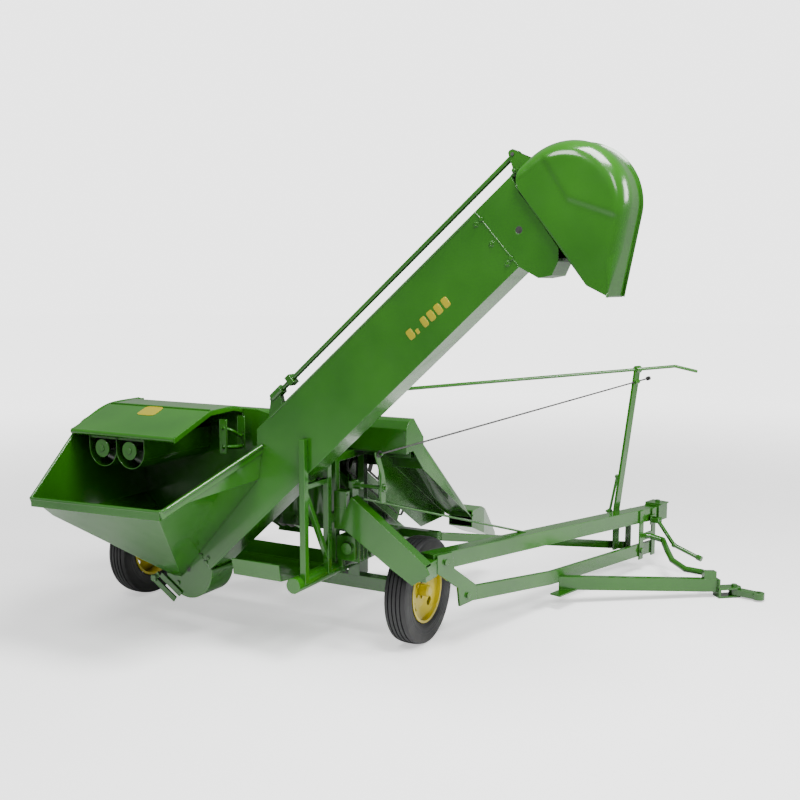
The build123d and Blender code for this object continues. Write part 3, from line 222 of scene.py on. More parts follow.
# In each enamel the hollow colour is painted shade laid into hollows, and the edge colour is a painted
# highlight on turned edges.
greenEnamel = {"dark": (0.010, 0.082, 0.0015), "light": (0.017, 0.115, 0.003),
               "edge": (0.055, 0.22, 0.030), "hollow": (0.001, 0.007, 0.0006),
               "roughLow": 0.14, "roughHigh": 0.26, "coat": 0.25,
               "peel": 0.0004, "edgeRadius": 0.007, "hollowReach": 0.55}
yellowEnamel = {"dark": (0.46, 0.37, 0.0003), "light": (0.56, 0.46, 0.0006),
                "edge": (0.70, 0.58, 0.008), "hollow": (0.08, 0.055, 0.001),
                "roughLow": 0.26, "roughHigh": 0.42, "coat": 0.3,
                "peel": 0.0004, "edgeRadius": 0.005, "hollowReach": 0.12}


enamelGrain = {"cloud": 1.7, "dust": 9.0, "peel": 90.0, "wave": 2.2,       # noise scales, per metre
               "waveDepth": 0.012, "coatRoughness": 0.06}


# A blend of two colours by a share; the second may be a plain colour.
def mixNode(nodes, links, share, first, second):
    mix = nodes.new("ShaderNodeMix")
    mix.data_type = "RGBA"
    links.new(share, mix.inputs["Factor"])
    links.new(first, mix.inputs["A"])
    if isinstance(second, tuple):
        mix.inputs["B"].default_value = (*second, 1)
    else:
        links.new(second, mix.inputs["B"])
    return mix.outputs["Result"]


# Sprayed gloss paint on rounded edges: a cloudy tone, a painted highlight that is paler where an edge
# turns, painted shade nearly black deep in hollows, with patches of duller gloss, a faint orange-peel skin
# and a slow wave of the sheet.
def makeEnamel(name, look):
    material, nodes, links, shader, where = newMaterial(name)
    cloud = noiseNode(nodes, links, where, enamelGrain["cloud"], 3)
    shade = rampNode(nodes, links, cloud.outputs["Fac"], [(0.35, look["dark"]), (0.65, look["light"])])
    # Painted highlight: where the bevelled normal parts from the true normal, the colour is mixed towards
    # the pale edge colour, as if light caught the rounded edge.
    turned = nodes.new("ShaderNodeBevel")
    turned.samples = 4
    turned.inputs["Radius"].default_value = look["edgeRadius"]
    flat = nodes.new("ShaderNodeNewGeometry")
    likeness = nodes.new("ShaderNodeVectorMath")
    likeness.operation = "DOT_PRODUCT"
    links.new(turned.outputs["Normal"], likeness.inputs[0])
    links.new(flat.outputs["Normal"], likeness.inputs[1])
    paintedEdgeHighlight = rangeNode(nodes, links, likeness.outputs["Value"], 0.75, 0.0, 0.72, 0.97)
    # Painted shade: ambient occlusion within the reach mixes the colour towards the nearly black hollow
    # colour in hollows and between parts.
    room = nodes.new("ShaderNodeAmbientOcclusion")
    room.samples = 6
    room.inputs["Distance"].default_value = look["hollowReach"]
    paintedShadeShare = rangeNode(nodes, links, room.outputs["AO"], 0.92, 0.0, 0.12, 0.62)
    withEdgeHighlight = mixNode(nodes, links, paintedEdgeHighlight.outputs["Result"], shade.outputs["Color"], look["edge"])
    colour = mixNode(nodes, links, paintedShadeShare.outputs["Result"], withEdgeHighlight, look["hollow"])
    dust = noiseNode(nodes, links, where, enamelGrain["dust"], 6, 0.6)
    gloss = rangeNode(nodes, links, dust.outputs["Fac"], look["roughLow"], look["roughHigh"])
    peel = noiseNode(nodes, links, where, enamelGrain["peel"], 2)
    wave = noiseNode(nodes, links, where, enamelGrain["wave"], 1)
    skin = bumpNode(nodes, links, peel.outputs["Fac"], look["peel"], 0.4, turned)
    sheet = bumpNode(nodes, links, wave.outputs["Fac"], enamelGrain["waveDepth"], 0.3, skin)
    links.new(colour, shader.inputs["Base Color"])
    links.new(gloss.outputs["Result"], shader.inputs["Roughness"])
    links.new(sheet.outputs["Normal"], shader.inputs["Normal"])
    shader.inputs["Coat Weight"].default_value = look["coat"]
    shader.inputs["Coat Roughness"].default_value = enamelGrain["coatRoughness"]
    shader.inputs["IOR"].default_value = 1.5
    return material


rubberLook = {"dark": (0.0035, 0.0035, 0.0042), "light": (0.009, 0.009, 0.010),
              "roughLow": 0.40, "roughHigh": 0.60, "cloud": 6.0, "grain": 160.0, "grainDepth": 0.0008}


# Black rubber: two shades in clouds, duller where it is paler, under a fine moulded grain.
def makeRubber(name, look):
    material, nodes, links, shader, where = newMaterial(name)
    cloud = noiseNode(nodes, links, where, look["cloud"], 5)
    shade = rampNode(nodes, links, cloud.outputs["Fac"], [(0.35, look["dark"]), (0.7, look["light"])])
    grain = noiseNode(nodes, links, where, look["grain"], 3)
    gloss = rangeNode(nodes, links, cloud.outputs["Fac"], look["roughLow"], look["roughHigh"])
    skin = bumpNode(nodes, links, grain.outputs["Fac"], look["grainDepth"], 0.5)
    links.new(shade.outputs["Color"], shader.inputs["Base Color"])
    links.new(gloss.outputs["Result"], shader.inputs["Roughness"])
    links.new(skin.outputs["Normal"], shader.inputs["Normal"])
    return material


steelLook = {"dark": (0.035, 0.036, 0.034), "light": (0.11, 0.11, 0.105), "metallic": 0.85,
             "roughLow": 0.35, "roughHigh": 0.6, "cloud": 14.0, "scratch": 220.0, "scratchDepth": 0.0003}


# Worn steel: two shades in clouds, duller where it is paler, with fine scratches.
def makeSteel(name, look):
    material, nodes, links, shader, where = newMaterial(name)
    cloud = noiseNode(nodes, links, where, look["cloud"], 6, 0.65)
    shade = rampNode(nodes, links, cloud.outputs["Fac"], [(0.35, look["dark"]), (0.7, look["light"])])
    gloss = rangeNode(nodes, links, cloud.outputs["Fac"], look["roughLow"], look["roughHigh"])
    scratch = noiseNode(nodes, links, where, look["scratch"], 2)
    skin = bumpNode(nodes, links, scratch.outputs["Fac"], look["scratchDepth"], 0.5)
    links.new(shade.outputs["Color"], shader.inputs["Base Color"])
    links.new(gloss.outputs["Result"], shader.inputs["Roughness"])
    links.new(skin.outputs["Normal"], shader.inputs["Normal"])
    shader.inputs["Metallic"].default_value = look["metallic"]
    return material


decalYellow = {**yellowEnamel, "dark": (0.26, 0.225, 0.0001), "light": (0.30, 0.26, 0.0002),
               "edge": (0.30, 0.26, 0.0002)}
green = makeEnamel("greenEnamel", greenEnamel)
yellow = makeEnamel("yellowEnamel", yellowEnamel)
decalPaint = makeEnamel("decalPaint", decalYellow)
rubber = makeRubber("tyreRubber", rubberLook)
darkSteel = makeSteel("darkSteel", steelLook)
bySlot = {"green_paint": green, "yellow_paint": yellow, "tyre": rubber, "dark_steel": darkSteel}
slotOf = {part["node"]: part["material_slot"] for part in frame["record"]["subparts"]}
for nodeName, node in frame["nodes"].items():
    node.data.materials.clear()
    node.data.materials.append(bySlot[slotOf[nodeName]])
print("materials given to the frame")

cameraLook = {"place": (-5.778, -4.134, 2.390), "heading": 28.1, "pitch": -6.57, "lens": 44.55,
              "sensor": 36}


# The camera looks along its heading, turned down by its pitch, both in degrees.
def makeCamera():
    data = bpy.data.cameras.new("camera")
    data.lens = cameraLook["lens"]
    data.sensor_width = cameraLook["sensor"]
    camera = bpy.data.objects.new("camera", data)
    bpy.context.scene.collection.objects.link(camera)
    camera.location = onMachine(cameraLook["place"])
    heading, pitch = math.radians(cameraLook["heading"]), math.radians(cameraLook["pitch"])
    level = math.cos(pitch)
    way = Vector((math.cos(heading) * level, math.sin(heading) * level, math.sin(pitch)))
    camera.rotation_euler = way.to_track_quat("-Z", "Y").to_euler()
    bpy.context.scene.camera = camera


# A rectangle of light turned towards its target.
def addLight(name, place, target, size, power):
    data = bpy.data.lights.new(name, "AREA")
    data.shape = "RECTANGLE"
    data.size, data.size_y = size
    data.energy = power
    light = bpy.data.objects.new(name, data)
    bpy.context.scene.collection.objects.link(light)
    light.location = onMachine(place)
    way = Vector(onMachine(target)) - Vector(onMachine(place))
    light.rotation_euler = way.to_track_quat("-Z", "Y").to_euler()


# Lights: place, the point each looks at, its two sides in metres and its power in watts.
studioLook = {"worldPower": 0.42, "backdropPower": 3.2,
              "glow": (0.75, 2.9), "glowFrom": 3.0, "glowTo": 15.0, "floorReach": 60.0,
              "paper": (0.93, 0.96), "paperRoughness": 0.8, "paperSpecular": 0.1,
              "lights": {"topWindow": ((-1.5, -3.5, 7.0), (0, 0, 1), (2.6, 2.6), 820),
                         "cameraWindow": ((-5.0, -0.6, 6.8), (0, -0.6, 1.2), (2.0, 2.6), 330),
                         "sideWindow": ((2.5, -8.0, 4.8), (0.5, -1.5, 1.4), (2.6, 2.6), 420),
                         "headWindow": ((-4.5, -6.5, 6.2), (-0.6, -2.4, 2.8), (1.3, 1.8), 110)}}


# A white world with four windows of light over a pale floor.
def makeStudio():
    world = bpy.data.worlds.new("studio")
    bpy.context.scene.world = world
    world.use_nodes = True
    nodes, links = world.node_tree.nodes, world.node_tree.links
    background = nodes["Background"]
    background.inputs["Color"].default_value = (1, 1, 1, 1)
    seen = nodes.new("ShaderNodeLightPath")    # the backdrop is brighter to the eye alone
    power = nodes.new("ShaderNodeMapRange")
    power.inputs["To Min"].default_value = studioLook["worldPower"]
    power.inputs["To Max"].default_value = studioLook["backdropPower"]
    links.new(seen.outputs["Is Camera Ray"], power.inputs["Value"])
    links.new(power.outputs["Result"], background.inputs["Strength"])
    for name, values in studioLook["lights"].items():
        addLight(name, *values)
    makeFloor()


# Pale paper that glows a little to the eye alone, and more the further out it lies.
def makeFloor():
    look = studioLook
    material, nodes, links, shader, where = newMaterial("paleFloor")
    seen = nodes.new("ShaderNodeLightPath")
    reachOut = nodes.new("ShaderNodeVectorMath")
    reachOut.operation = "LENGTH"
    links.new(where.outputs["Object"], reachOut.inputs[0])
    glow = rangeNode(nodes, links, reachOut.outputs["Value"], *look["glow"], look["glowFrom"],
                     look["glowTo"])
    glow.interpolation_type = "SMOOTHSTEP"
    toEye = nodes.new("ShaderNodeMath")
    toEye.operation = "MULTIPLY"
    links.new(glow.outputs["Result"], toEye.inputs[0])
    links.new(seen.outputs["Is Camera Ray"], toEye.inputs[1])
    links.new(toEye.outputs["Value"], shader.inputs["Emission Strength"])
    speck = noiseNode(nodes, links, where, 2.0, 2)
    dim, bright = look["paper"]
    tone = rampNode(nodes, links, speck.outputs["Fac"], [(0.0, (dim,) * 3), (1.0, (bright,) * 3)])
    links.new(tone.outputs["Color"], shader.inputs["Base Color"])
    links.new(tone.outputs["Color"], shader.inputs["Emission Color"])
    shader.inputs["Roughness"].default_value = look["paperRoughness"]
    shader.inputs["Specular IOR Level"].default_value = look["paperSpecular"]
    reach = look["floorReach"]
    corners = onMachine([(-reach, -reach, 0), (reach, -reach, 0), (reach, reach, 0), (-reach, reach, 0)])
    floor = makeMesh("floor", corners, [(0, 1, 2, 3)], material, smooth=False)


makeCamera()
makeStudio()
print("camera and studio ready")

spoutLook = {"centre": (-2.410, 2.825), "radius": 0.345, "arcStart": 35, "arcEnd": 186,
             "innerTop": (-2.145, 2.913), "top": (-2.130, 3.004), "lowOuter": (-2.665, 2.330),
             "lowInner": (-2.540, 2.392), "flangeStep": 0.012, "flange": 0.008, "roundWide": 0.125,
             "roundIn": 0.105, "roundShare": 0.42, "wall": 0.005, "fold": 0.010,
             "foldKnee": (-2.431, 2.840), "foldUpper": (-0.845, 0.535), "foldLower": (-0.338, 0.941),
             "foldWidth": 0.006, "strips": 150}


# Even steps along straight runs through the points.
def evenRun(points, count):
    points = np.asarray(points, float)
    lengths = np.r_[0, np.cumsum(np.linalg.norm(np.diff(points, axis=0), axis=1))]
    at = np.linspace(0, lengths[-1], count)
    return np.column_stack([np.interp(at, lengths, points[:, k]) for k in range(points.shape[1])])


# The hood's outer line: up the inner end, round an arc and down, set in by the inset and smoothed.
def spoutWallLine(inset, count):
    look = spoutLook
    angle = np.radians(np.linspace(look["arcStart"], look["arcEnd"], 60))
    centre = np.array(look["centre"])
    arc = centre + (look["radius"] - inset) * np.column_stack([np.cos(angle), np.sin(angle)])
    down = np.array(look["lowOuter"]) + [inset, 0.0]
    start, top = np.array(look["innerTop"]), np.array(look["top"]) - [0.0, 1.2 * inset]
    line = evenRun(np.vstack([start, top, arc, down]), count)
    kernel = np.ones(5) / 5
    soft = np.column_stack([np.convolve(line[:, k], kernel, "same") for k in (0, 1)])
    line[3:-3] = soft[3:-3]
    return line


# Each strip runs from the far flange across the wall, over a quarter ellipse at the near edge and
# down the near side to the mouth; a soft fold parts the dome from the skirt below it.
def makeSpoutHood():
    look = spoutLook
    low, high = boxOf("spout_hood")
    near, far = low[0], high[0]
    flangeX = far - look["flange"]
    count, flatSteps, downSteps = look["strips"], 10, 30
    wall = spoutWallLine(look["flangeStep"], count)
    mouth = evenRun([look["innerTop"], look["lowInner"], look["lowOuter"]], count)
    mouth[-1] = wall[-1]
    inward = mouth - wall
    room = np.linalg.norm(inward, axis=1)
    inward = inward / np.maximum(room, 1e-6)[:, None]
    depth = np.minimum(look["roundIn"], look["roundShare"] * room)
    wide = look["roundWide"] * depth / look["roundIn"]
    across = np.linspace(0, 1, flatSteps)[:, None]
    turn = np.radians(np.linspace(0, 90, 18))[1:, None]
    down = np.linspace(0, 1, downSteps)[1:, None]
    flatX = flangeX + (near + wide - far + look["flange"]) * across
    roundX = near + wide * (1 - np.sin(turn))
    onWall, onSide = np.zeros((flatSteps, count)), np.ones((downSteps - 1, count))
    fullX = np.vstack([flatX, roundX, near * onSide])
    inset = np.vstack([onWall, depth * (1 - np.cos(turn)), depth + (room - depth) * down])
    spots = wall + inward * inset[..., None]
    fromKnee = spots - np.array(look["foldKnee"])
    foldSide = np.minimum(fromKnee @ look["foldUpper"], fromKnee @ look["foldLower"])
    below = 1 / (1 + np.exp(np.clip(foldSide / look["foldWidth"], -50, 50)))
    onFace = np.vstack([onWall, (1 - np.cos(turn)) ** 2 * np.ones(count), onSide])
    grid = np.dstack([fullX + look["fold"] * below * onFace, spots])
    shell = makeSurface("spoutDome", grid, green, "spout", sharpAngle=50)
    addModifier(shell, "SOLIDIFY", thickness=look["wall"], offset=-1)
    rim = spoutWallLine(0.0, count)
    flangeMouth = evenRun([look["innerTop"], look["lowInner"], look["lowOuter"]], count)
    flangeMouth[-1] = rim[-1]
    steps = np.linspace(0, 1, 8)[:, None, None]
    plate = rim + (flangeMouth - rim) * steps
    side = np.dstack([np.full(plate.shape[:2], flangeX), plate])
    flange = makeSurface("spoutFlange", side, green, "spout", sharpAngle=50)
    addModifier(flange, "SOLIDIFY", thickness=look["flange"], offset=1)
    return shell


pinLook = {"earOutline": [(-2.172, 3.012), (-2.132, 2.990), (-2.092, 2.994), (-2.051, 3.113),
                          (-2.058, 3.124), (-2.075, 3.130), (-2.092, 3.124), (-2.103, 3.113),
                          (-2.200, 3.070)],
           "earAt": (-0.619, -0.561), "earThick": 0.010, "pinFrom": -0.625, "pinTo": -0.545,
           "pinPlace": (-2.075, 3.105), "pinRadius": 0.010, "knuckleAt": (-0.680, -0.530),
           "knuckleLong": 0.040, "knucklePlace": (-2.112, 3.010), "knuckleRadius": 0.017}


# Two ears with the lift rod's pin between them, and the hinge's two knuckles.
def makeSpoutPins():
    look = pinLook
    for index, x in enumerate(look["earAt"]):
        ear = makePrism(f"spoutEar{index}", look["earOutline"], x, x + look["earThick"], green,
                        "spout", across="x")
        addModifier(ear, "BEVEL", width=0.003, segments=2)
    pinLine = [(x, *look["pinPlace"]) for x in (look["pinFrom"], look["pinTo"])]
    makeTube("spoutEarPin", pinLine, look["pinRadius"], darkSteel, "spout")
    for index, x in enumerate(look["knuckleAt"]):
        knuckleLine = [(end, *look["knucklePlace"]) for end in (x, x + look["knuckleLong"])]
        makeTube(f"spoutKnuckle{index}", knuckleLine, look["knuckleRadius"], green, "spout")


spoutShell = makeSpoutHood()
makeSpoutPins()
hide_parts("spout_hood")
print("spout hood ready")

tyreLook = {"ribs": 5, "grooveDepth": 0.009, "grooveShare": 0.22, "treadShare": 0.93, "swell": 0.07,
            "crown": 0.010, "sidePower": 1.15, "rings": 3, "ringRise": 0.0018, "bead": 0.219,
            "wall": 0.008}


# A turned surface: the tread's radius falls with the cube of the way across and is cut by even
# grooves; the side walls go in by a power of the way down, swell as a sine and carry fine rings.
def makeTyre(name, node, body):
    look = tyreLook
    low, high = boxOf(node)
    centre, half = (low + high) / 2, (high - low) / 2
    outer, wide = half[2], half[1]
    t = np.linspace(-1, 1, 161)
    across = wide * t * look["treadShare"]
    crown = outer - look["crown"] * np.abs(t) ** 3
    ripple = np.cos(np.pi * look["ribs"] * (t + 1))
    groove = np.clip((ripple - 1 + 2 * look["grooveShare"]) / 0.2, 0, 1)
    tread = np.column_stack([across, crown - look["grooveDepth"] * groove * (np.abs(t) < 0.9)])
    s = np.linspace(0, 1, 60)[1:]
    drop = outer - look["crown"] - look["bead"]
    bulge = np.sin(np.pi * np.minimum(1, s * 1.15) ** 0.7)
    swell = wide * (look["treadShare"] + look["swell"] * bulge)
    ring = look["ringRise"] * (np.sin(2 * np.pi * look["rings"] * s * 2) > 0.75) * (s > 0.1)
    sideAcross = np.where(s < 0.8, swell, swell * (1 - 0.9 * (s - 0.8))) + ring
    sideOut = outer - look["crown"] - drop * s ** look["sidePower"]
    side = np.column_stack([np.minimum(sideAcross, wide), sideOut])
    profile = np.vstack([np.column_stack([-side[::-1, 0], side[::-1, 1]]), tread, side])
    angle = np.linspace(0, 2 * np.pi, 144, endpoint=False)
    x = centre[0] + np.outer(np.cos(angle), profile[:, 1])
    z = centre[2] + np.outer(np.sin(angle), profile[:, 1])
    y = centre[1] + np.broadcast_to(profile[:, 0], x.shape)
    tyre = makeSurface(name, np.dstack([x, y, z]), rubber, body, wrapRows=True, flip=True)
    addModifier(tyre, "SOLIDIFY", thickness=look["wall"], offset=-1)
    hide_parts(node)


makeTyre("nearTyre", "right_tyre", "right_wheel")
makeTyre("farTyre", "left_tyre", "left_wheel")
print("tyres ready")

hopperLook = {"bead": 0.012, "rearLeft": (-1.419, 0.850, 1.044), "rearRight": (-1.419, -0.222, 1.069),
              "frontRight": (-0.706, -0.431, 1.380), "cornerBend": 0.045, "sideLine": 0.856,
              "sideRun": [(-1.418, 1.047), (-1.200, 1.261), (-0.990, 1.460), (-0.900, 1.506),
                          (-0.780, 1.556), (-0.660, 1.580), (-0.420, 1.585)]}


# Round beads on the bin's edges: straight runs joined by a quadratic bend, and a smooth side run.
def makeHopperTrim():
    look = hopperLook
    right = np.array([look["rearLeft"], look["rearRight"], look["frontRight"]])
    corner = right[1]
    step = look["cornerBend"]
    before = corner + step * (right[0] - corner) / np.linalg.norm(right[0] - corner)
    after = corner + step * (right[2] - corner) / np.linalg.norm(right[2] - corner)
    t = np.linspace(0, 1, 10)[:, None]
    bend = (1 - t) ** 2 * before + 2 * t * (1 - t) * corner + t ** 2 * after
    path = np.vstack([right[:1], bend, right[2:]])
    makeTube("hopperRearBead", path, look["bead"], green, "frame")
    line = finePath([(x, look["sideLine"], z) for x, z in look["sideRun"]])
    makeTube("hopperSideBead", line, look["bead"], green, "frame")


# A thin decal plate: rings of a superellipse spread from its middle, with its edge turned down.
def makeDecal(name, centre, along, up, size, body, power):
    centre, along, up = (np.asarray(v, float) for v in (centre, along, up))
    along, up = along / np.linalg.norm(along), up / np.linalg.norm(up)
    out = np.cross(along, up)
    angle = np.linspace(0, 2 * np.pi, 48, endpoint=False)
    c, s = np.cos(angle), np.sin(angle)
    edgeAt = (np.abs(c) ** power + np.abs(s) ** power) ** (-1 / power)
    rings = np.array([0.02, 0.5, 0.97, 1.0, 1.0])[:, None]
    lift = np.array([0.0012, 0.0012, 0.0012, 0.0009, -0.0003])[:, None]
    across = rings * c * edgeAt * size[0] / 2
    high = rings * s * edgeAt * size[1] / 2
    grid = centre + across[..., None] * along + high[..., None] * up + lift[..., None] * out
    rows, columns = grid.shape[:2]
    faces = [list(f) for f in gridFaces(rows, columns, wrapColumns=True)] + [list(range(columns))[::-1]]
    return makeMesh(name, onMachine(grid.reshape(-1, 3)), [f[::-1] for f in faces], decalPaint, body)


markLook = {"start": (-1.475, 2.098), "slope": 39.8, "height": 0.062, "roundness": 5.0,
            "bars": [(0.000, 0.045), (0.058, 0.022), (0.118, 0.040), (0.172, 0.044), (0.230, 0.044),
                     (0.290, 0.044)],
            "hoodFall": (0.135, 0.360), "patchPlace": (-0.783, 0.422, 1.5625), "patchSize": (0.155, 0.125)}


# Plain yellow bars along the elevator's slope, each a place and a width, and a patch on the hood.
def makeMarks():
    look = markLook
    slope = math.radians(look["slope"])
    along = np.array([0, -math.cos(slope), math.sin(slope)])
    up = np.array([0, math.sin(slope), math.cos(slope)])
    start = np.array([boxOf("elevator_trunk")[0][0], *look["start"]])
    for index, (place, wide) in enumerate(look["bars"]):
        high = look["height"] * (0.5 if index == 1 else 1.0)
        middle = start + along * (place + wide / 2) + up * (high - look["height"]) / 2
        makeDecal(f"trunkMark{index}", middle, along, up, (wide, high), "frame", look["roundness"])
    hoodSlope = math.atan2(*look["hoodFall"])
    patchUp = (math.cos(hoodSlope), 0, math.sin(hoodSlope))
    makeDecal("hoodPatch", look["patchPlace"], (0, -1, 0), patchUp, look["patchSize"], "frame",
              look["roundness"])


makeHopperTrim()
makeMarks()
print("hopper trim and marks ready")

gearLook = {"rowSlope": 32.0, "rowTop": (-0.02, 1.075), "rise": 0.10, "length": 0.84,
            "rows": (-0.497, 0.587), "spread": 0.155, "linkPitch": 0.042, "sprocket": 0.055,
            "link": (0.034, 0.014, 0.012), "lug": (0.012, 0.030, 0.050), "lugRise": 0.028,
            "lugEvery": 4, "guideHalf": 0.005, "guideTop": 0.038, "guideLow": 0.115,
            "guideCut": 0.12, "guideTail": 0.05,
            "linerAt": (-0.926, -0.070, 0.159, 1.010), "linerThick": 0.004,
            "linerOutline": [(-0.070, 1.285), (0.145, 1.270), (0.960, 0.668), (0.960, 0.640),
                             (0.560, 0.640), (0.140, 0.900), (-0.070, 0.960)]}


# Boxes at each place along a path, all in one mesh: eight corners each, turned with the path.
def makeLinks(name, places, ways, size, material, body):
    places, ways = np.asarray(places, float), np.asarray(ways, float)
    ways = ways / np.linalg.norm(ways, axis=1)[:, None]
    normal = np.broadcast_to(np.array([0.0, 1.0, 0.0]), ways.shape)
    third = np.cross(ways, normal)
    signs = np.array([(a, b, c) for a in (-1, 1) for b in (-1, 1) for c in (-1, 1)]) / 2
    corners = (places[:, None] + signs[None, :, :1] * ways[:, None] * size[0]
               + signs[None, :, 1:2] * normal[:, None] * size[1]
               + signs[None, :, 2:] * third[:, None] * size[2])
    box = np.array([(0, 1, 3, 2), (4, 6, 7, 5), (0, 4, 5, 1), (2, 3, 7, 6), (0, 2, 6, 4), (1, 5, 7, 3)])
    faces = (box[None] + 8 * np.arange(len(places))[:, None, None]).reshape(-1, 4)
    return makeMesh(name, onMachine(corners.reshape(-1, 3)), faces, material, body, smooth=False)


# Links on a loop of two straight runs and two half circles, with tall lugs on the upper run and a
# guide plate between the runs.
def makeRowChain(name, y):
    look = gearLook
    slope = math.radians(look["rowSlope"])
    way = np.array([math.cos(slope), 0, -math.sin(slope)])
    up = np.array([math.sin(slope), 0, math.cos(slope)])
    start = np.array([look["rowTop"][0], y, look["rowTop"][1]]) + up * look["rise"]
    radius = look["sprocket"]
    straight = np.arange(0, look["length"], look["linkPitch"])
    half = np.linspace(0, np.pi, 6)[1:-1]
    top = start + straight[:, None] * way + up * radius
    nose = (start + look["length"] * way
            + radius * (np.sin(half)[:, None] * way + np.cos(half)[:, None] * up))
    low = start + straight[::-1, None] * way - up * radius
    tail = start - radius * (np.sin(half)[:, None] * way + np.cos(half)[:, None] * up)
    path = np.vstack([top, nose, low, tail])
    ways = np.roll(path, -1, axis=0) - np.roll(path, 1, axis=0)
    makeLinks(name, path, ways, look["link"], darkSteel, "frame")
    lugs = path[2:len(straight):look["lugEvery"]] + up * look["lugRise"]
    makeLinks(name + "Lugs", lugs, np.tile(way, (len(lugs), 1)), look["lug"], darkSteel, "frame")
    length, top, bottom, cut = look["length"], look["guideTop"], -look["guideLow"], look["guideCut"]
    outline = ((0, top), (length, top), (length, bottom), (length - cut, bottom), (cut, bottom),
               (0, -look["guideTail"]))
    corners = [start + a * way + b * up for a, b in outline]
    half = look["guideHalf"]
    guide = makePrism(name + "Guide", [(p[0], p[2]) for p in corners], y - half, y + half, green,
                      "frame")
    addModifier(guide, "BEVEL", width=0.002, segments=2)


# A chain on each side of each row, and a flat liner inside each divider.
def makeGatheringGear():
    look = gearLook
    for row, y in enumerate(look["rows"]):
        for side in (-1, 1):
            makeRowChain(f"gatheringChain{row}{'ab'[(side + 1) // 2]}", y + side * look["spread"])
    for index, y in enumerate(look["linerAt"]):
        inner = makePrism(f"dividerLiner{index}", look["linerOutline"], y, y + look["linerThick"],
                          green, "frame")
        addModifier(inner, "BEVEL", width=0.0015, segments=1)


makeGatheringGear()
print("gathering gear ready")

liningLook = {"x": 0.094, "y": (-0.665, 0.735), "z": (0.66, 1.286), "wave": 0.006, "pitch": 0.14,
              "thick": 0.003, "steps": (120, 6)}


# A corrugated sheet: its depth follows a cosine of the way across.
def makeBodyLining():
    look = liningLook
    y = np.linspace(*look["y"], look["steps"][0])
    z = np.linspace(*look["z"], look["steps"][1])
    x = look["x"] + look["wave"] * np.cos(2 * np.pi * (y - y[0]) / look["pitch"])
    grid = np.dstack(np.broadcast_arrays(x[:, None], y[:, None], z[None]))
    lining = makeSurface("bodyLining", grid, green, "frame")
    addModifier(lining, "SOLIDIFY", thickness=look["thick"], offset=0)


# A hexagon head on a washer: rings step from the washer's rim up to the head's flat top.
def makeBolt(name, place, out, body, radius, rise):
    out = np.asarray(out, float)
    side = np.cross(out, [0.3, 0.2, 1.0])
    side /= np.linalg.norm(side)
    up = np.cross(out, side)
    angle = np.linspace(0, 2 * np.pi, 24, endpoint=False)
    hexagon = np.cos(np.pi / 6) / np.cos((angle % (np.pi / 3)) - np.pi / 6)
    washer = np.full(len(angle), 1.7)
    radii = radius * np.array([washer, washer, hexagon * 1.15, hexagon * 1.15, hexagon * 0.95])
    lift = rise * np.array([-0.1, 0.2, 0.2, 0.85, 1.0])[:, None]
    ring = np.cos(angle)[:, None] * side + np.sin(angle)[:, None] * up
    grid = np.asarray(place, float) + radii[..., None] * ring + lift[..., None] * out
    makeSurface(name, grid, green, body, wrapColumns=True, caps=True)


# The trunk's edges are straight: a height at a place, and so much rise for each metre to the right.
seamLook = {"radius": 0.0035, "endGap": 0.03, "boltRadius": 0.011, "boltRise": 0.008,
            "bootSeam": ((0.012, 0.512), (0.318, 0.862)),
            "headSeam": ((-2.154, 0.888 + 1.754 * 0.9145), (-1.890, 1.843 + 1.090 * 0.8754)),
            "boltAt": (0.12, 0.5, 0.88), "boltAside": (0.030, -0.024),
            "topFrom": (-0.800, 1.843), "topRise": 0.8754, "topRun": (-0.50, -1.86), "topBelow": 0.012}


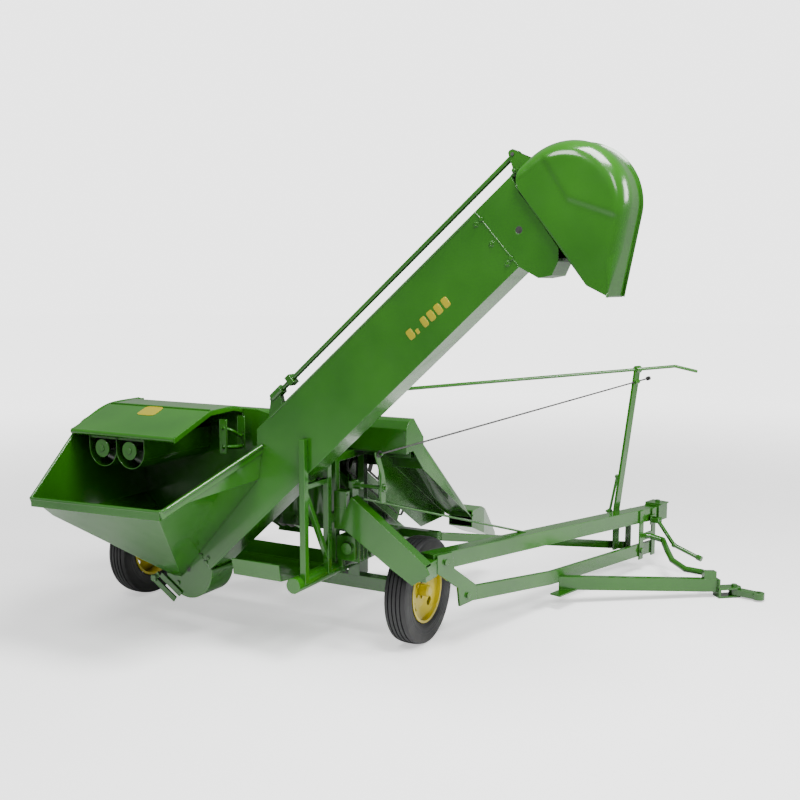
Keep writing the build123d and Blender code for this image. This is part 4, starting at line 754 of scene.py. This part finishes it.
# Welded seams across the trunk's two ends with bolts beside them, and one along its top edge.
def makeTrunkSeams():
    look = seamLook
    rear = boxOf("elevator_trunk")[0][0]
    for index, (first, last) in enumerate((look["bootSeam"], look["headSeam"])):
        gap = look["endGap"]
        first, last = np.array(first), np.array(last)
        a, b = first + gap * (last - first), last + gap * (first - last)
        makeTube(f"trunkSeam{index}", [(rear, *a), (rear, *b)], look["radius"], green, "frame", sides=8)
        for k, t in enumerate(look["boltAt"]):
            spot = a + (b - a) * t + np.array(look["boltAside"]) * (1 if index else -1)
            makeBolt(f"seamBolt{index}{k}", (rear, *spot), (-1, 0, 0), "frame", look["boltRadius"],
                     look["boltRise"])
    topY, topZ = look["topFrom"]
    edge = [(rear - 0.001, y, topZ + (topY - y) * look["topRise"] - look["topBelow"])
            for y in look["topRun"]]
    makeTube("trunkTopEdge", edge, look["radius"], green, "frame", sides=8)


lipLook = {"place": (-1.070, 1.438), "radius": 0.019, "endGap": 0.004, "steps": 30,
           "foldPlace": (-0.720, 1.587), "foldRadius": 0.006, "foldGap": 0.01}


# The hood's rolled rear lip and the fold where it meets its top, both straight across.
def makeHoodLip():
    look = lipLook
    low, high = boxOf("hopper_hood")
    x, z = look["place"]
    y = np.linspace(low[1] + look["endGap"], high[1] - look["endGap"], look["steps"])
    line = np.column_stack([np.full(len(y), x), y, np.full(len(y), z)])
    makeTube("hoodLip", line, look["radius"], green, "frame")
    x, z = look["foldPlace"]
    foldLine = [(x, y, z) for y in (low[1] + look["foldGap"], high[1] - look["foldGap"])]
    makeTube("hoodFold", foldLine, look["foldRadius"], green, "frame", sides=10)


bracketLook = {"upright": [(-0.060, 1.300), (-0.110, 1.300), (-0.110, 1.520), (-0.060, 1.520)],
               "uprightAt": (-0.470, -0.660), "uprightThick": 0.012, "guardRadius": 0.011,
               "guard": [(-0.664, -0.085, 1.470), (-0.600, -0.120, 1.440), (-0.520, -0.110, 1.400),
                         (-0.452, -0.085, 1.395)],
               "lowGuardRadius": 0.014,
               "lowGuard": [(-0.664, -0.085, 1.340), (-0.560, -0.130, 1.330), (-0.452, -0.085, 1.320)]}


# Brackets and two guard bars on the bulkhead's right side, inside the hopper.
def makeHopperBrackets():
    look = bracketLook
    for index, x in enumerate(look["uprightAt"]):
        plate = makePrism(f"hopperUpright{index}", look["upright"], x, x + look["uprightThick"],
                          green, "frame", across="x")
        addModifier(plate, "BEVEL", width=0.003, segments=2)
    makeTube("hopperGuard", finePath(look["guard"]), look["guardRadius"], green, "frame")
    makeTube("hopperGuardLow", finePath(look["lowGuard"]), look["lowGuardRadius"], green, "frame")


makeBodyLining()
makeTrunkSeams()
makeHoodLip()
makeHopperBrackets()
print("small fittings ready")
